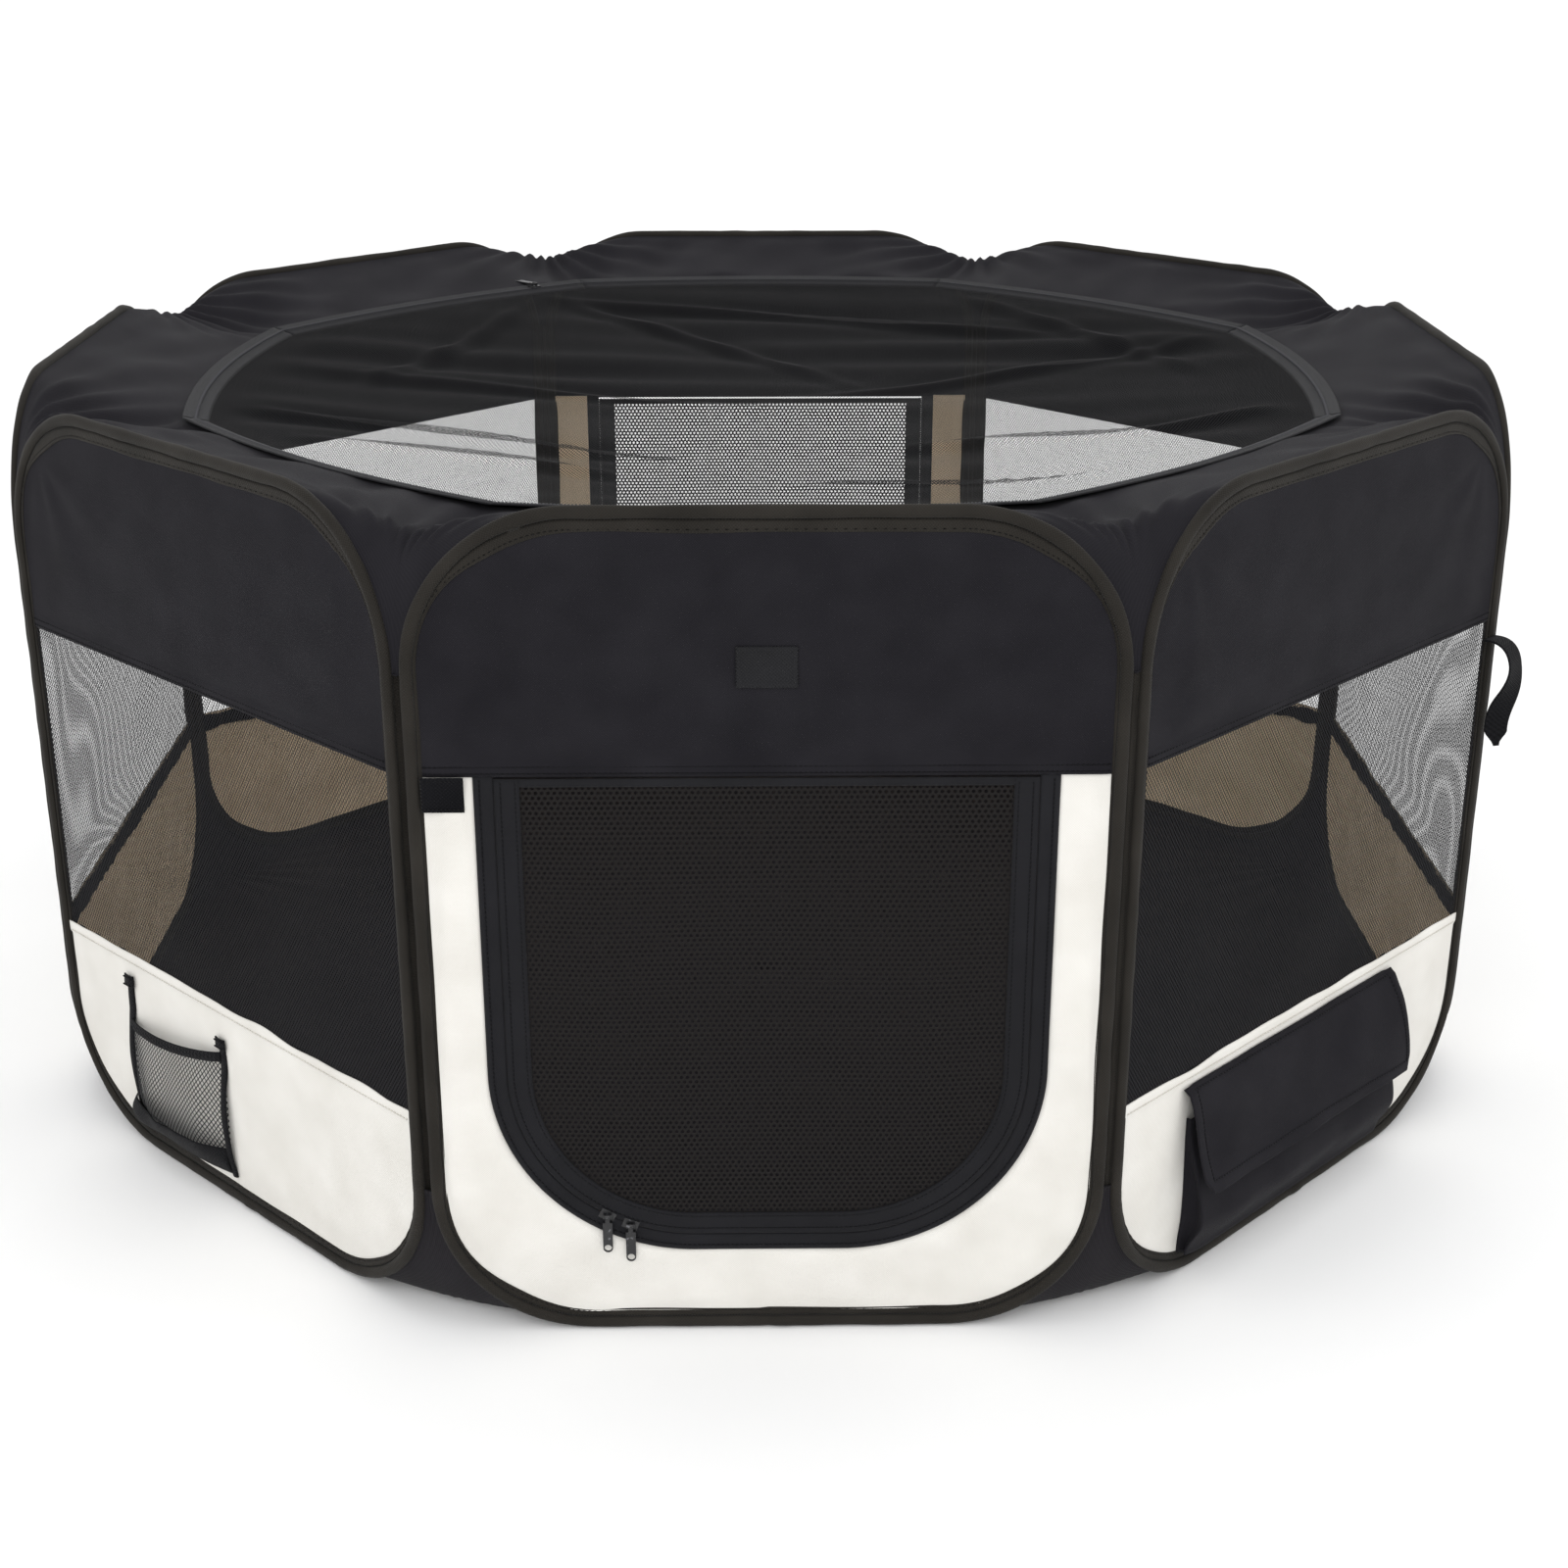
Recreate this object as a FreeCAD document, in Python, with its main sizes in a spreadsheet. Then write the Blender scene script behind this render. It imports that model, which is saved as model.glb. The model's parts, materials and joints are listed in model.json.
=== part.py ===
# Folding fabric pet pen: an octagon of eight wire-hooped panels, made as a parametric document.
# Millimetres. +Z is up, the front door faces -Y, and the origin is the middle of the ground plane.
# Each panel is drawn in its own upright frame: X along the panel, -Y outwards, Z up. Then it is
# moved out to its side of the octagon.
import FreeCAD, Part

import math
import os

import Sketcher
from FreeCAD import Placement, Rotation, Vector

os.makedirs("parts", exist_ok=True)
doc = FreeCAD.newDocument("PetPen")

# ---------------------------------------------------------------- driving dimensions
dimensions = {
    # the ring
    "outer_apothem": 625,  # centre to the outside of a panel's binding
    "pen_height": 650,
    "band_bottom": 455,  # seam between the upper band and what is below it
    "band_top_low": 184,  # top edge of the lower band
    "hinge_inset": 6,  # how far a corner seam lies inside a panel's middle plane
    "end_inset": 9.7,  # the same at the two corners that turn right round when the pen folds
    # the wire hoop and its binding
    "wire_diameter": 3.2,
    "bore_diameter": 3.4,
    "sleeve_diameter": 10,
    "hoop_corner": 115,  # corner radius at the wire's centre
    "tape_reach": 16,  # wire centre to the tape's sewn edge
    "tape_thickness": 1.6,
    "tape_slit": 0.2,  # between the tape's two layers
    "seam_diameter": 6.4,  # rolled seam that joins two panels
    "seam_web": 1.4,
    "web_root": 4.2,  # from the wire's centre, in the sleeve's wall
    "fabric": 1.2,
    # the doors
    "door_half": 205,  # to the outer edge of the zip tape
    "door_bottom": 70,
    "door_corner": 150,
    "zip_tape": 13,  # width of each half of the zip
    "zip_gap": 0.6,
    "leaf_drop": 2,  # leaf's top edge below the upper band
    # the sliders and their pulls
    "slider_long": 12,
    "slider_wide": 8,
    "slider_thick": 1.4,
    "slider_lift": 0.3,
    "cheek_thick": 1.2,
    "cheek_round": 3.4,
    "bridge_pin": 1.6,
    "bridge_rise": 2.2,
    "pull_eye": 3.4,
    "pull_neck": 3.4,
    "pull_wide": 7.4,
    "pull_shoulder": 5.2,  # below the eye, where the tab has its full width
    "pull_thick": 1.4,
    "pull_long": 27,
    "pull_hole": 5.6,
    "first_slider": 29,  # degrees from the lowest point of the corner arc
    "second_slider": 21,
    # the roof and the floor
    "roof_apothem": 611,
    "roof_level": 625,
    "roof_mesh_apothem": 490,
    "roof_zip_place": -140,
    "sheet_thick": 1.5,
    "floor_apothem": 611,
    # pockets on the lower bands
    "storage_left": -162,
    "storage_right": 125,
    "storage_top": 142,
    "storage_deep": 30,
    "flap_over": 7,
    "flap_root": 173,
    "flap_edge": 88,
    "flap_gap": 0.9,
    "flap_out": 36,
    "flap_bend": 32,
    "pocket_wall": 1.2,
    "pocket_gap": 0.35,  # from the cloth's outer face to a pocket's back
    "bottle_left": -146,
    "bottle_right": -8,
    "bottle_bottom": 30,
    "bottle_top": 140,
    "bottle_deep": 30,
    # trim
    "strap_wide": 20,
    "strap_thick": 1.6,
    "strap_root": 440,
    "strap_out": 24,
    "strap_bend": 18,
    "strap_low": 345,
    "strap_place": 240,
    "label_wide": 43,
    "label_tall": 30,
    "label_level": 536,
    "patch_wide": 24,
    "patch_tall": 28,
    "trim_thick": 0.8,
}

sheet = doc.addObject("Spreadsheet::Sheet", "sheet")
for row, (alias, number) in enumerate(dimensions.items(), start=1):
    sheet.set(f"A{row}", alias)
    sheet.set(f"B{row}", str(number))
    sheet.setAlias(f"B{row}", alias)
doc.recompute()


class Size:
    """A dimension that knows its number and the sheet formula that it comes from."""

    def __init__(self, number, formula):
        self.number = number
        self.formula = formula

    def __add__(self, other):
        other = as_size(other)
        return Size(self.number + other.number, f"({self.formula} + {other.formula})")

    def __sub__(self, other):
        other = as_size(other)
        return Size(self.number - other.number, f"({self.formula} - {other.formula})")

    def __mul__(self, factor):
        return Size(self.number * factor, f"({self.formula} * {factor})")

    def __truediv__(self, factor):
        return Size(self.number / factor, f"({self.formula} / {factor})")

    def __neg__(self):
        return Size(-self.number, f"(0 - {self.formula})")


def as_size(value):
    if isinstance(value, Size):
        return value
    return Size(value, f"({value})")


def cell(alias):
    return Size(float(sheet.get(alias)), f"sheet.{alias}")


zero = Size(0.0, "0")

# ---------------------------------------------------------------- worked-out sizes
octagon_tan = math.tan(math.pi / 8)
middle_apothem = cell("outer_apothem") - cell("sleeve_diameter") / 2
hinge_apothem = middle_apothem - cell("hinge_inset")
half_side = hinge_apothem * octagon_tan  # panel centre to the corner seam
end_side = (middle_apothem - cell("end_inset")) * octagon_tan  # the same at an end corner
leg_place = half_side - cell("hinge_inset")  # panel centre to the wire's upright leg
wire_low = cell("sleeve_diameter") / 2
wire_high = cell("pen_height") - cell("sleeve_diameter") / 2
tape_side = leg_place - cell("tape_reach")
tape_low = wire_low + cell("tape_reach")
tape_high = wire_high - cell("tape_reach")
tape_corner = cell("hoop_corner") - cell("tape_reach")
zip_half = cell("door_half") - cell("zip_tape")
zip_bottom = cell("door_bottom") + cell("zip_tape")
zip_corner = cell("door_corner") - cell("zip_tape")
arc_side = cell("door_half") - cell("door_corner")
arc_level = cell("door_bottom") + cell("door_corner")
leaf_top = cell("band_bottom") - cell("leaf_drop")
fabric_face = cell("fabric") / 2

sides = ["front", "front_right", "right", "back_right", "back", "back_left", "left", "front_left"]
door_sides = ["front", "back"]
end_sides = ["front_left", "back_right"]  # their right-hand corners turn right round
nodes = {}


# ---------------------------------------------------------------- helpers
def panel_place(side):
    """Moves a panel's own frame out to its side of the octagon."""
    turn = Rotation(Vector(0, 0, 1), 45 * sides.index(side))
    return Placement(Vector(), turn) * Placement(Vector(0, -middle_apothem.number, 0), Rotation())


def keep(thing, name, place=None):
    """Names a finished sub-part for its file and puts it in its place."""
    thing.Label = name
    if place is not None:
        thing.Placement = place
    nodes[name] = thing
    return thing


def new_body(name):
    return doc.addObject("PartDesign::Body", name)


def new_sketch(body, name, plane, offset=None):
    sketch = body.newObject("Sketcher::SketchObject", name)
    support = [f for f in body.Origin.OriginFeatures if f.Role == plane][0]
    sketch.AttachmentSupport = [(support, "")]
    sketch.MapMode = "FlatFace"
    if offset is not None:
        sketch.AttachmentOffset = Placement(Vector(0, 0, offset.number), Rotation())
        sketch.setExpression("AttachmentOffset.Base.z", offset.formula)
    return sketch


def bind(sketch, kind, *where, size):
    """Adds one dimension to a sketch and ties it to its formula."""
    index = sketch.addConstraint(Sketcher.Constraint(kind, *where, size.number))
    name = f"size{index}"
    sketch.renameConstraint(index, name)
    sketch.setExpression(f"Constraints.{name}", size.formula)


def add_outline(sketch, corners):
    """A closed outline of level and upright lines. A corner is (x, y) or (x, y, radius)."""
    count = len(corners)
    points = [Vector(c[0].number, c[1].number, 0) for c in corners]
    radii = [c[2].number if len(c) > 2 else 0.0 for c in corners]
    lines = []
    for i in range(count):
        start, end = points[i], points[(i + 1) % count]
        along = (end - start).normalize()
        first = start + along * radii[i]
        last = end - along * radii[(i + 1) % count]
        lines.append(sketch.addGeometry(Part.LineSegment(first, last)))
    for i in range(count):
        level = abs(points[i].y - points[(i + 1) % count].y) < 1e-9
        sketch.addConstraint(Sketcher.Constraint("Horizontal" if level else "Vertical", lines[i]))
        if level:
            bind(sketch, "DistanceY", -1, 1, lines[i], 1, size=corners[i][1])
        else:
            bind(sketch, "DistanceX", -1, 1, lines[i], 1, size=corners[i][0])
    for i in range(count):
        before = lines[i - 1]
        after = lines[i]
        if radii[i] == 0:
            sketch.addConstraint(Sketcher.Constraint("Coincident", before, 2, after, 1))
            continue
        enter = (points[i] - points[i - 1]).normalize()
        leave = (points[(i + 1) % count] - points[i]).normalize()
        centre = points[i] - enter * radii[i] + leave * radii[i]
        middle = centre + (enter - leave).normalize() * radii[i]
        arc = Part.Arc(points[i] - enter * radii[i], middle, points[i] + leave * radii[i])
        round_corner = sketch.addGeometry(arc)
        turns_left = enter.cross(leave).z > 0
        begins, ends = (1, 2) if turns_left else (2, 1)
        sketch.addConstraint(Sketcher.Constraint("Tangent", before, 2, round_corner, begins))
        sketch.addConstraint(Sketcher.Constraint("Tangent", round_corner, ends, after, 1))
        bind(sketch, "Radius", round_corner, size=corners[i][2])


def add_polygon(sketch, corners):
    """A closed outline of straight lines through points that each have their own place."""
    count = len(corners)
    points = [Vector(x.number, y.number, 0) for x, y in corners]
    lines = [
        sketch.addGeometry(Part.LineSegment(points[i], points[(i + 1) % count]))
        for i in range(count)
    ]
    for i in range(count):
        sketch.addConstraint(Sketcher.Constraint("Coincident", lines[i - 1], 2, lines[i], 1))
        bind(sketch, "DistanceX", -1, 1, lines[i], 1, size=corners[i][0])
        bind(sketch, "DistanceY", -1, 1, lines[i], 1, size=corners[i][1])


def add_circle(sketch, across, level, diameter):
    centre = Vector(across.number, level.number, 0)
    ring = sketch.addGeometry(Part.Circle(centre, Vector(0, 0, 1), diameter.number / 2))
    bind(sketch, "DistanceX", -1, 1, ring, 3, size=across)
    bind(sketch, "DistanceY", -1, 1, ring, 3, size=level)
    bind(sketch, "Diameter", ring, size=diameter)


def pad(body, name, sketch, length, middle=False):
    feature = body.newObject("PartDesign::Pad", name)
    feature.Profile = sketch
    feature.setExpression("Length", length.formula)
    if middle:
        feature.SideType = "Symmetric"
    return feature


def fabric_plate(name, side, outlines, thickness):
    """A flat sewn piece in a panel's middle plane."""
    body = new_body(name)
    sketch = new_sketch(body, name + "_outline", "XZ_Plane")
    for corners in outlines:
        add_outline(sketch, corners)
    pad(body, name + "_cloth", sketch, thickness, middle=True)
    return keep(body, name, panel_place(side))


def octagon(apothem):
    reach = apothem * octagon_tan
    return [
        (-reach, -apothem),
        (reach, -apothem),
        (apothem, -reach),
        (apothem, reach),
        (reach, apothem),
        (-reach, apothem),
        (-apothem, reach),
        (-apothem, -reach),
    ]


# ---------------------------------------------------------------- hoops and bindings
def hoop_path(body, name):
    """The wire's centre line: a rectangle with large round corners, from its lower run."""
    sketch = new_sketch(body, name, "XZ_Plane")
    corner = cell("hoop_corner")
    add_outline(
        sketch,
        [
            (-leg_place, wire_low, corner),
            (leg_place, wire_low, corner),
            (leg_place, wire_high, corner),
            (-leg_place, wire_high, corner),
        ],
    )
    return sketch


def sweep_round_hoop(body, name, profile):
    path = hoop_path(body, name + "_path")
    pipe = body.newObject("PartDesign::AdditivePipe", name + "_sweep")
    pipe.Profile = profile
    pipe.Spine = path
    return pipe


run_start = cell("hoop_corner") - leg_place  # where the lower run leaves its left corner


def make_wire_hoop(side):
    """Spring-steel wire, welded into one closed hoop."""
    name = side + "_wire_hoop"
    body = new_body(name)
    section = new_sketch(body, name + "_section", "YZ_Plane", run_start)
    add_circle(section, zero, wire_low, cell("wire_diameter"))
    sweep_round_hoop(body, name, section)
    keep(body, name, panel_place(side))


def make_binding(side):
    """Binding tape sewn round the hoop, with the rolled seam that joins the next panel."""
    name = side + "_binding"
    body = new_body(name)
    section = new_sketch(body, name + "_section", "YZ_Plane", run_start)
    sleeve = cell("sleeve_diameter") / 2
    bore = cell("bore_diameter") / 2
    half_tape = cell("tape_thickness") / 2
    half_slit = cell("tape_slit") / 2
    # a folded tape: round the wire, then two layers that lie together up to their sewn edge
    flanks = []
    for radius, flank in ((sleeve, half_tape), (bore, half_slit)):
        neck = wire_low.number + math.sqrt(radius.number**2 - flank.number**2)
        below = Vector(0, wire_low.number - radius.number, 0)
        left, right = Vector(-flank.number, neck, 0), Vector(flank.number, neck, 0)
        arc = section.addGeometry(Part.Arc(left, below, right))
        bind(section, "DistanceX", -1, 1, arc, 3, size=zero)
        bind(section, "DistanceY", -1, 1, arc, 3, size=wire_low)
        bind(section, "Radius", arc, size=radius)
        for end, neck_point, place in ((1, left, -flank), (2, right, flank)):
            tip = Vector(neck_point.x, tape_low.number, 0)
            line = section.addGeometry(Part.LineSegment(neck_point, tip))
            section.addConstraint(Sketcher.Constraint("Coincident", arc, end, line, 1))
            section.addConstraint(Sketcher.Constraint("Vertical", line))
            bind(section, "DistanceX", -1, 1, line, 1, size=place)
            flanks.append(line)
    for outer, inner in ((flanks[0], flanks[2]), (flanks[1], flanks[3])):
        start = section.getPoint(outer, 2)
        end = section.getPoint(inner, 2)
        tip_line = section.addGeometry(Part.LineSegment(start, end))
        section.addConstraint(Sketcher.Constraint("Coincident", outer, 2, tip_line, 1))
        section.addConstraint(Sketcher.Constraint("Coincident", inner, 2, tip_line, 2))
        section.addConstraint(Sketcher.Constraint("Horizontal", tip_line))
        bind(section, "DistanceY", -1, 1, tip_line, 1, size=tape_low)
    sweep_round_hoop(body, name, section)

    seam_low = wire_low + cell("hoop_corner")
    seam_length = wire_high - cell("hoop_corner") - seam_low
    if side in end_sides:
        seam_side, inset = end_side, cell("end_inset")
    else:
        seam_side, inset = half_side, cell("hinge_inset")
    lean = math.atan2(inset.number, (seam_side - leg_place).number)
    along, up = math.cos(lean), math.sin(lean)
    half_web = cell("seam_web") / 2
    root = cell("web_root")
    web = new_sketch(body, name + "_web", "XY_Plane", seam_low)
    add_polygon(
        web,
        [
            (leg_place + root * along - half_web * up, root * up + half_web * along),
            (leg_place + root * along + half_web * up, root * up - half_web * along),
            (seam_side + half_web * up, inset - half_web * along),
            (seam_side - half_web * up, inset + half_web * along),
        ],
    )
    pad(body, name + "_web_pad", web, seam_length)
    roll = new_sketch(body, name + "_seam", "XY_Plane", seam_low)
    add_circle(roll, seam_side, inset, cell("seam_diameter"))
    pad(body, name + "_seam_pad", roll, seam_length)
    keep(body, name, panel_place(side))


# ---------------------------------------------------------------- cloth of the panels
def make_upper_band(side):
    corners = [
        (-tape_side, cell("band_bottom")),
        (tape_side, cell("band_bottom")),
        (tape_side, tape_high, tape_corner),
        (-tape_side, tape_high, tape_corner),
    ]
    fabric_plate(side + "_upper_band", side, [corners], cell("fabric"))


def make_window(side):
    corners = [
        (-tape_side, cell("band_top_low")),
        (tape_side, cell("band_top_low")),
        (tape_side, cell("band_bottom")),
        (-tape_side, cell("band_bottom")),
    ]
    fabric_plate(side + "_window_mesh", side, [corners], cell("fabric"))


def make_lower_band(side):
    corners = [
        (-tape_side, tape_low, tape_corner),
        (tape_side, tape_low, tape_corner),
        (tape_side, cell("band_top_low")),
        (-tape_side, cell("band_top_low")),
    ]
    fabric_plate(side + "_lower_band", side, [corners], cell("fabric"))


def make_door_surround(side):
    """The pale cloth round the door, cut out in a wide U."""
    top = cell("band_bottom")
    corners = [
        (-tape_side, top),
        (-tape_side, tape_low, tape_corner),
        (tape_side, tape_low, tape_corner),
        (tape_side, top),
        (cell("door_half"), top),
        (cell("door_half"), cell("door_bottom"), cell("door_corner")),
        (-cell("door_half"), cell("door_bottom"), cell("door_corner")),
        (-cell("door_half"), top),
    ]
    fabric_plate(side + "_door_surround", side, [corners], cell("fabric"))


def make_door_zip(side):
    """The outer half of the zip's tape, sewn to the surround."""
    top = cell("band_bottom")
    half_gap = cell("zip_gap") / 2
    corners = [
        (-cell("door_half"), top),
        (-cell("door_half"), cell("door_bottom"), cell("door_corner")),
        (cell("door_half"), cell("door_bottom"), cell("door_corner")),
        (cell("door_half"), top),
        (zip_half + half_gap, top),
        (zip_half + half_gap, zip_bottom - half_gap, zip_corner + half_gap),
        (-zip_half - half_gap, zip_bottom - half_gap, zip_corner + half_gap),
        (-zip_half - half_gap, top),
    ]
    fabric_plate(side + "_door_zip", side, [corners], cell("fabric"))


def make_door_leaf(side):
    """The mesh door with its own half of the zip, hinged along its top edge."""
    half_gap = cell("zip_gap") / 2
    corners = [
        (half_gap - zip_half, zip_bottom + half_gap, zip_corner - half_gap),
        (zip_half - half_gap, zip_bottom + half_gap, zip_corner - half_gap),
        (zip_half - half_gap, leaf_top),
        (half_gap - zip_half, leaf_top),
    ]
    fabric_plate(side + "_door_leaf", side, [corners], cell("fabric"))


# ---------------------------------------------------------------- sliders and pulls
def local_box(name, wide, deep, tall):
    """A box centred on its own X and Z, with its back on Y = 0 and its depth towards -Y."""
    box = doc.addObject("Part::Box", name)
    for prop, size in (("Length", wide), ("Width", deep), ("Height", tall)):
        box.setExpression(prop, size.formula)
    box.Placement = Placement(
        Vector(-wide.number / 2, -deep.number, -tall.number / 2), Rotation()
    )
    return box


def cross_pin(name, diameter, length, out):
    """A round bar along X, centred, at a distance out along -Y."""
    pin = doc.addObject("Part::Cylinder", name)
    pin.setExpression("Radius", (diameter / 2).formula)
    pin.setExpression("Height", length.formula)
    pin.Placement = Placement(
        Vector(-length.number / 2, -out.number, 0), Rotation(Vector(0, 1, 0), 90)
    )
    return pin


def slider_shapes(name, tilt):
    """Slider plate turned to the zip's run, two upright cheeks, and the bridge between them."""
    plate = local_box(name + "_plate", cell("slider_long"), cell("slider_thick"), cell("slider_wide"))
    plate.Placement = Placement(Vector(), Rotation(Vector(0, 1, 0), -tilt)) * plate.Placement
    out = cell("slider_thick") + cell("bridge_rise")
    span = cell("pull_eye") + cell("zip_gap") + cell("cheek_thick") * 2
    pieces = [plate, cross_pin(name + "_bridge", cell("bridge_pin"), span, out)]
    cheek_side = (span - cell("cheek_thick")) / 2
    for label, sign in (("left", -1), ("right", 1)):
        cheek = local_box(
            f"{name}_{label}_cheek",
            cell("cheek_thick"),
            out + cell("bridge_pin") / 2 - cell("slider_thick") / 2,
            cell("cheek_round"),
        )
        start = Vector(sign * cheek_side.number, -cell("slider_thick").number / 2, 0)
        cheek.Placement = Placement(start, Rotation()) * cheek.Placement
        pieces.append(cheek)
    return pieces, out


def make_slider(name, place, tilt):
    pieces, out = slider_shapes(name, tilt)
    fuse = doc.addObject("Part::MultiFuse", name)
    fuse.Shapes = pieces
    keep(fuse, name, place)
    return out


def make_pull(name, place, out):
    """Pull tab that hangs on the bridge: an eye at the top and a ring at the bottom."""
    eye = cross_pin(name + "_eye", cell("pull_eye"), cell("pull_neck"), zero)
    neck = local_box(name + "_neck", cell("pull_neck"), cell("pull_thick"), cell("pull_wide"))
    neck.Placement.Base += Vector(0, cell("pull_thick").number / 2, -cell("pull_wide").number / 2)
    tab_top = cell("pull_shoulder")
    tab_length = cell("pull_long") - tab_top
    tab = local_box(name + "_tab", cell("pull_wide"), cell("pull_thick"), tab_length)
    drop = -(tab_top + tab_length / 2).number
    tab.Placement.Base += Vector(0, cell("pull_thick").number / 2, drop)
    lying = Rotation(Vector(1, 0, 0), 90)
    ring_centre = Vector(0, cell("pull_thick").number / 2, -cell("pull_long").number)
    ring = doc.addObject("Part::Cylinder", name + "_ring")
    ring.setExpression("Radius", (cell("pull_wide") / 2).formula)
    ring.setExpression("Height", cell("pull_thick").formula)
    ring.Placement = Placement(ring_centre, lying)
    whole = doc.addObject("Part::MultiFuse", name + "_blank")
    whole.Shapes = [eye, neck, tab, ring]
    bore = cross_pin(name + "_bore", cell("bridge_pin") + cell("zip_gap"), cell("pull_wide"), zero)
    hole = doc.addObject("Part::Cylinder", name + "_hole")
    hole.setExpression("Radius", (cell("pull_hole") / 2).formula)
    hole.setExpression("Height", (cell("pull_thick") * 2).formula)
    hole_start = ring_centre + Vector(0, cell("pull_thick").number / 2, 0)
    hole.Placement = Placement(hole_start, lying)
    holes = doc.addObject("Part::MultiFuse", name + "_holes")
    holes.Shapes = [bore, hole]
    cut = doc.addObject("Part::Cut", name)
    cut.Base = whole
    cut.Tool = holes
    keep(cut, name, place * Placement(Vector(0, -out.number, 0), Rotation()))


def make_door_sliders(side):
    """Two sliders that meet at the door's lower left corner."""
    for label, angle_cell in (("left", "first_slider"), ("right", "second_slider")):
        angle = cell(angle_cell).number
        across = -arc_side.number - zip_corner.number * math.sin(math.radians(angle))
        level = arc_level.number - zip_corner.number * math.cos(math.radians(angle))
        face = (fabric_face + cell("slider_lift")).number
        spot = panel_place(side) * Placement(Vector(across, -face, level), Rotation())
        out = make_slider(f"{side}_zip_slider_{label}", spot, -angle)
        make_pull(f"{side}_zip_pull_{label}", spot, out)


# ---------------------------------------------------------------- roof and floor
def make_flat_sheet(name, level, outlines):
    body = new_body(name)
    sketch = new_sketch(body, name + "_outline", "XY_Plane", level)
    for corners in outlines:
        add_polygon(sketch, corners)
    pad(body, name + "_cloth", sketch, cell("sheet_thick"))
    keep(body, name)


def make_roof():
    inner = octagon(cell("roof_mesh_apothem"))
    make_flat_sheet("roof_border", cell("roof_level"), [octagon(cell("roof_apothem")), inner])
    make_flat_sheet("roof_mesh", cell("roof_level"), [inner])
    # the slider lies on the zip between them, over the back left side, with its pull laid flat
    top = cell("roof_level") + cell("sheet_thick")
    inwards = (middle_apothem - cell("roof_mesh_apothem")).number
    spot = Vector(cell("roof_zip_place").number, inwards, top.number)
    lying = Rotation(Vector(1, 0, 0), -90)
    place = panel_place("back_left") * Placement(spot, lying)
    out = make_slider("roof_zip_slider", place, 0)
    make_pull("roof_zip_pull", place, out)


def make_floor():
    make_flat_sheet("floor_sheet", zero, [octagon(cell("floor_apothem"))])


# ---------------------------------------------------------------- pockets and trim
def make_open_pocket(name, side, left, right, bottom, top, deep):
    """A sewn box on a lower band, open upwards."""
    body = new_body(name)
    wall = cell("pocket_wall")
    face = -fabric_face - cell("pocket_gap")
    outer = new_sketch(body, name + "_plan", "XY_Plane", bottom)
    add_outline(
        outer,
        [
            (left, face - deep, deep / 3),
            (right, face - deep, deep / 3),
            (right, face),
            (left, face),
        ],
    )
    pad(body, name + "_block", outer, top - bottom)
    inner = new_sketch(body, name + "_cavity", "XY_Plane", top)
    add_outline(
        inner,
        [
            (left + wall, face - deep + wall, deep / 3 - wall),
            (right - wall, face - deep + wall, deep / 3 - wall),
            (right - wall, face - wall),
            (left + wall, face - wall),
        ],
    )
    cut = body.newObject("PartDesign::Pocket", name + "_hollow")
    cut.Profile = inner
    cut.setExpression("Length", (top - bottom - wall).formula)
    keep(body, name, panel_place(side))


def hanging_band(name, side, start, width, root, level, low, out, thick, bend):
    """A band of cloth that leaves the panel level, bends over and hangs straight down."""
    body = new_body(name)
    sketch = new_sketch(body, name + "_profile", "YZ_Plane", start)
    add_outline(
        sketch,
        [
            (root, level - thick),
            (root, level),
            (root - out, level, bend),
            (root - out, low),
            (root - out + thick, low),
            (root - out + thick, level - thick, bend - thick),
        ],
    )
    pad(body, name + "_cloth", sketch, width)
    keep(body, name, panel_place(side))


def make_pocket_flap():
    """Flap that is sewn above the storage pocket and hangs in a curve over its front."""
    over = cell("flap_over")
    hanging_band(
        "storage_pocket_flap",
        "front_right",
        cell("storage_left") - over,
        cell("storage_right") - cell("storage_left") + over * 2,
        -fabric_face - cell("flap_gap"),
        cell("flap_root"),
        cell("flap_edge"),
        cell("flap_out"),
        cell("fabric"),
        cell("flap_bend"),
    )


def make_pockets():
    make_open_pocket(
        "storage_pocket",
        "front_right",
        cell("storage_left"),
        cell("storage_right"),
        tape_low + cell("slider_lift"),
        cell("storage_top"),
        cell("storage_deep"),
    )
    make_pocket_flap()
    make_open_pocket(
        "bottle_pocket",
        "front_left",
        cell("bottle_left"),
        cell("bottle_right"),
        cell("bottle_bottom"),
        cell("bottle_top"),
        cell("bottle_deep"),
    )


def make_strap():
    """A short strap on a corner, bowed out and hanging straight down."""
    hanging_band(
        "corner_strap",
        "front_right",
        cell("strap_place") - cell("strap_wide") / 2,
        cell("strap_wide"),
        -cell("sleeve_diameter") / 2,
        cell("strap_root"),
        cell("strap_low"),
        cell("strap_out"),
        cell("strap_thick"),
        cell("strap_bend"),
    )


def make_patches():
    """A blank woven label on the upper band and a hook-and-loop patch by the door."""
    name = "sewn_patches"
    label = local_box("label", cell("label_wide"), cell("trim_thick"), cell("label_tall"))
    label.Placement.Base += Vector(0, -fabric_face.number, cell("label_level").number)
    patch = local_box("hook_patch", cell("patch_wide"), cell("trim_thick"), cell("patch_tall"))
    side = -(tape_side - cell("patch_wide") / 2 - cell("slider_lift")).number
    level = (cell("band_bottom") - cell("patch_tall") / 2 - cell("leaf_drop")).number
    patch.Placement.Base += Vector(side, -fabric_face.number, level)
    both = doc.addObject("Part::Compound", name)
    both.Links = [label, patch]
    keep(both, name, panel_place("front"))


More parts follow.
